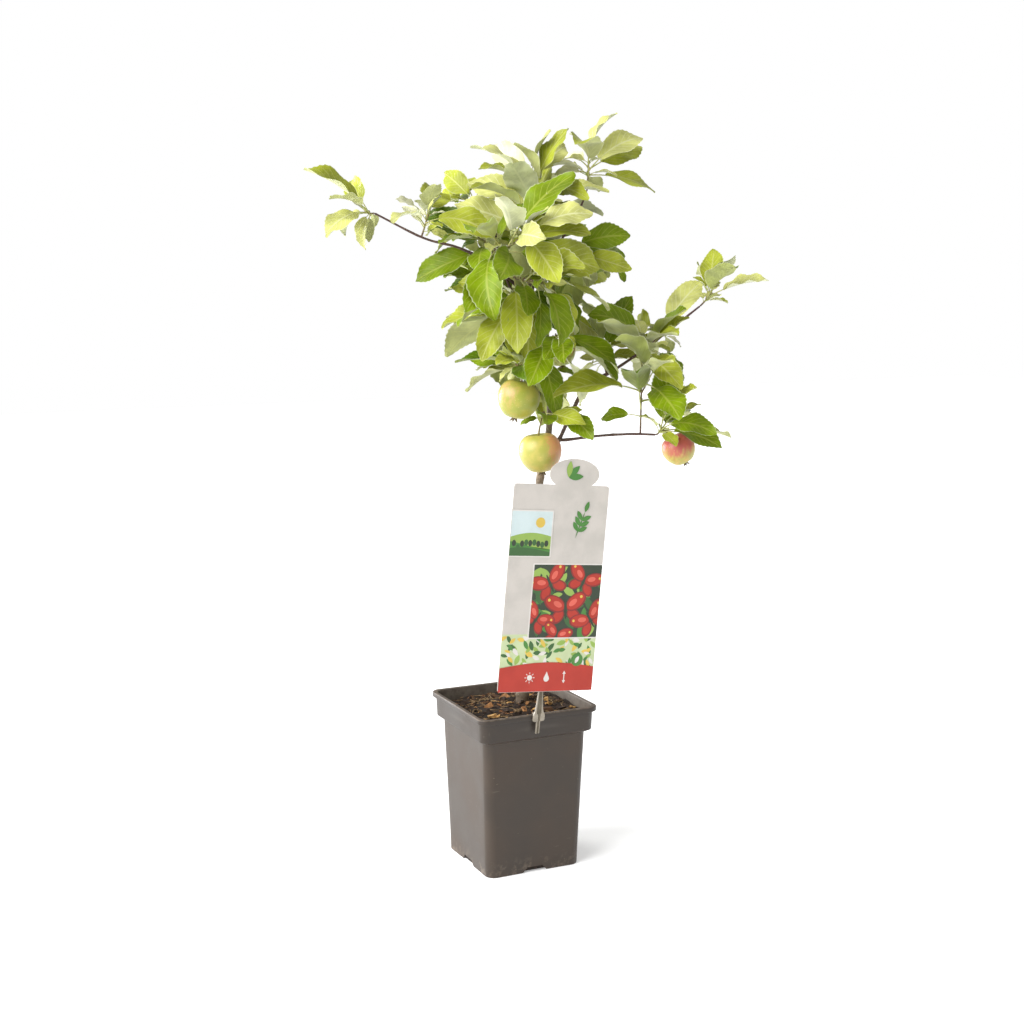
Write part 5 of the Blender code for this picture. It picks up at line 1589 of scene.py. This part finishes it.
def build_foliage(lines):
    """Leaves by tone, with their stalks, stems and buds, for all masses."""
    crown, masses = grow_crown(lines)
    nodes = list(MASSES)
    rng = seeded("foliage")
    blades = [[] for _ in LEAF_COLOURS]
    stalks, shoots, shoot_uv, buds = [], [], [], []
    for name, (paths, leaves) in masses.items():
        for path, radii in paths:
            path, radii, share = resample(path, radii, SHOOT_POINTS)
            radii = radii * (1 + 0.10 * np.sin(share * 40 + rng.uniform(0, TAU)))
            shoots.append(tube_skin(path, radii, SHOOT_SIDES))
            run = np.repeat(np.stack([share, share], -1), SHOOT_SIDES, axis=0)
            shoot_uv.append(np.vstack([[0, 0], run, [1, 1]]))
            along = unit(path[-1] - path[-2])
            buds.append(bud_skin(path[-1] - 0.0008 * along, along, END_BUD))
        for leaf in leaves + small_leaves(crown, lines, name):
            blades[tone_of(leaf, name)].append((*blade_skin(leaf, rng), blade_kinds(leaf)))
            stalks.append(stalk_skin(leaf))
            if "age" not in leaf:
                up = unit(leaf["axes"][0] * 0.5 + [0, 0, 0.9])
                buds.append(bud_skin(leaf["foot"] + 0.0006 * up, up, rng.uniform(*SIDE_BUD)))
    for (tone, upper, under, vein), grown in zip(LEAF_COLOURS, blades):
        shapes, surfaces, kinds = zip(*grown)
        materials = leaf_materials(tone, upper, under, vein)
        make_piece(f"{tone}_leaves", turned(shapes), materials, nodes, uv=np.vstack(surfaces),
                   kinds=np.concatenate(kinds), sharp=BLADE_CREASE)
    downy = plain_skin("downy leaf stalk", "#9aa35c", "#b3ae70", 9 * MM, 0.7, 0.1 * MM)
    make_piece("leaf_stalks", turned(stalks), [downy], nodes)
    shoot = bark_material("young shoot skin", "#5b3f35", "#8d8f55", "#b0a184", 0.62)
    make_piece("young_shoots", turned(shoots), [shoot], nodes, uv=np.vstack(shoot_uv))
    scale = plain_skin("bud scales", "#6b463c", "#93806a", 1.5 * MM, 0.75, 0.15 * MM)
    make_piece("buds", turned(buds), [scale], nodes)


APPLE_COLOURS = {
    "apple_left": ("#8f9438", "#a19a3e", "#c2906a", (-0.9, -0.3, 0.3), 0.14),
    "apple_low": ("#9c9a44", "#b0a24e", "#c08058", (0.85, -0.45, 0.2), 0.62),
    "apple_right": ("#a5a04c", "#c0a255", "#a8464a", (-0.45, -0.5, 0.75), 0.80),
    "apple_hidden": ("#8e9a38", "#a99c42", "#a96a45", (0.2, -0.8, 0.5), 0.30),
}


def build_apples(lines):
    """The apples, each in a skin of its own, with their sepals and stalks."""
    for name, apple in APPLES.items():
        green, gold, blush, toward, amount = APPLE_COLOURS[name]
        material = apple_material(f"{name.replace('_', ' ')} skin", apple, green, gold, blush, toward, amount)
        make_piece(name, turned([apple_skin(apple)]), [material], [apple.mass])
    dry = plain_skin("dry sepals", "#4d3f2c", "#7c6c4c", 1.5 * MM, 0.85, 0.2 * MM)
    make_piece("sepals", turned([sepals_skin(apple) for apple in APPLES.values()]), [dry])
    stalks = []
    for apple in APPLES.values():
        path, radii, _ = resample(apple_stalk(lines, apple), [0.0013, 0.0010, 0.0009, 0.0010, 0.0013], 16)
        stalks.append(tube_skin(path, radii, 8))
    woody = plain_skin("apple stalk", "#6e6038", "#8c7d4c", 5 * MM, 0.7, 0.15 * MM)
    make_piece("apple_stalks", turned(stalks), [woody])


def build_pot_and_soil():
    """The pot, its soil, and the chips and fibres on it."""
    build_pot(pot_material())
    soil = plain_skin("damp peat", "#180d02", "#2b1806", 5 * MM, 0.9, 1.2 * MM)
    build_soil(soil)
    chips = [plain_skin(f"{tone} bark chip", dark, light, 3 * MM, 0.82, 0.4 * MM) for tone, dark, light in (
        ("dark", "#201004", "#35200c"), ("brown", "#3a220c", "#553616"), ("reddish", "#6d4420", "#926537"),
        ("pale", "#a0723a", "#c09a60"))]
    build_chips(chips)
    build_fibres(plain_skin("coir fibre", "#5e492f", "#8a714e", 4 * MM, 0.85, 0.1 * MM))


def build_stage():
    """Plain pale floor that glows faintly like a light table, soft light from the left, and the camera."""
    material = bpy.data.materials.new("white studio floor")
    material.use_nodes = True
    shader = material.node_tree.nodes["Principled BSDF"]
    for socket, value in FLOOR_FINISH.items():
        shader.inputs[socket].default_value = value
    corners = FLOOR_HALF * np.array([(-1, -1, 0), (1, -1, 0), (1, 1, 0), (-1, 1, 0)])
    floor = put("floor", mesh_of("floor", (corners, [np.array([(0, 1, 2, 3)])]), [material]))

    world = adjust(bpy.data.worlds.new("studio"), use_nodes=True)
    tree, background = world.node_tree, world.node_tree.nodes["Background"]
    seen = add_node(tree, "ShaderNodeLightPath", {}, {}).outputs["Is Camera Ray"]
    sockets = {0: seen, 1: 0.0, 2: 1.0, 3: ROOM_LIGHT, 4: 1.0}
    backdrop = add_node(tree, "ShaderNodeMapRange", {"interpolation_type": "SMOOTHSTEP"}, sockets)
    background.inputs["Color"].default_value = (1.0, 1.0, 1.0, 1.0)
    tree.links.new(backdrop.outputs[0], background.inputs["Strength"])
    window = adjust(bpy.data.lights.new("window", "SUN"), energy=WINDOW_LIGHT, angle=WINDOW_ANGLE)
    put("window", window, rotation_euler=facing(-Vector(WINDOW_WAY)))
    for name, place, size, power in LIGHTS:
        light = adjust(bpy.data.lights.new(name, "AREA"), shape="DISK", size=size, energy=power)
        put(name, light, location=place, rotation_euler=facing(Vector(LIT_PLACE) - Vector(place)))

    camera = adjust(bpy.data.cameras.new("camera"), sensor_width=36.0, lens=CAMERA_LENS)
    tilt = (math.pi / 2 - CAMERA_PITCH, 0.0, CAMERA_TURN)
    bpy.context.scene.world = world
    bpy.context.scene.camera = put("camera", camera, location=CAMERA_PLACE, rotation_euler=tilt)
    bpy.context.scene.view_settings.view_transform = "Standard"


def facing(way):
    """The turn of a light that shines along a way."""
    return way.to_track_quat("-Z", "Y").to_euler()


# Floor, lights and camera; each area light has its name, place, size and power
ROOM_LIGHT = 0.57
WINDOW_LIGHT = 4.9
WINDOW_WAY = (-0.88, -0.12, 0.52)
WINDOW_ANGLE = math.radians(55)
FLOOR_HALF = 6.0
FLOOR_FINISH = {
    "Base Color": srgb("#f4f4f4"), "Roughness": 0.9, "Specular IOR Level": 0.1,
    "Emission Color": (1.0, 1.0, 1.0, 1.0), "Emission Strength": 0.28,
}
LIT_PLACE = (0.0, 0.0, 0.45)
LIGHTS = [
    ("panel", (-1.5, 2.4, 0.7), 1.8, 90.0),
    ("fill", (1.2, -2.4, 1.4), 1.6, 3.0),
]
CAMERA_PLACE = (-0.8192, -1.7143, 0.7316)
CAMERA_PITCH = 0.158
CAMERA_TURN = math.radians(-25.5)
CAMERA_LENS = 56.64

lines = build_limbs()
build_foliage(lines)
build_apples(lines)
build_pot_and_soil()
build_label()
# The stem's second finish is darker: painted shade in its channel
build_stem([plain_skin("label stem plastic", "#837a6c", "#988f80", 18 * MM, 0.42, 0.05 * MM),
            plain_skin("painted shade in the stem's channel", "#5a5243", "#6f6655", 12 * MM, 0.7, 0.1 * MM)])
build_stage()
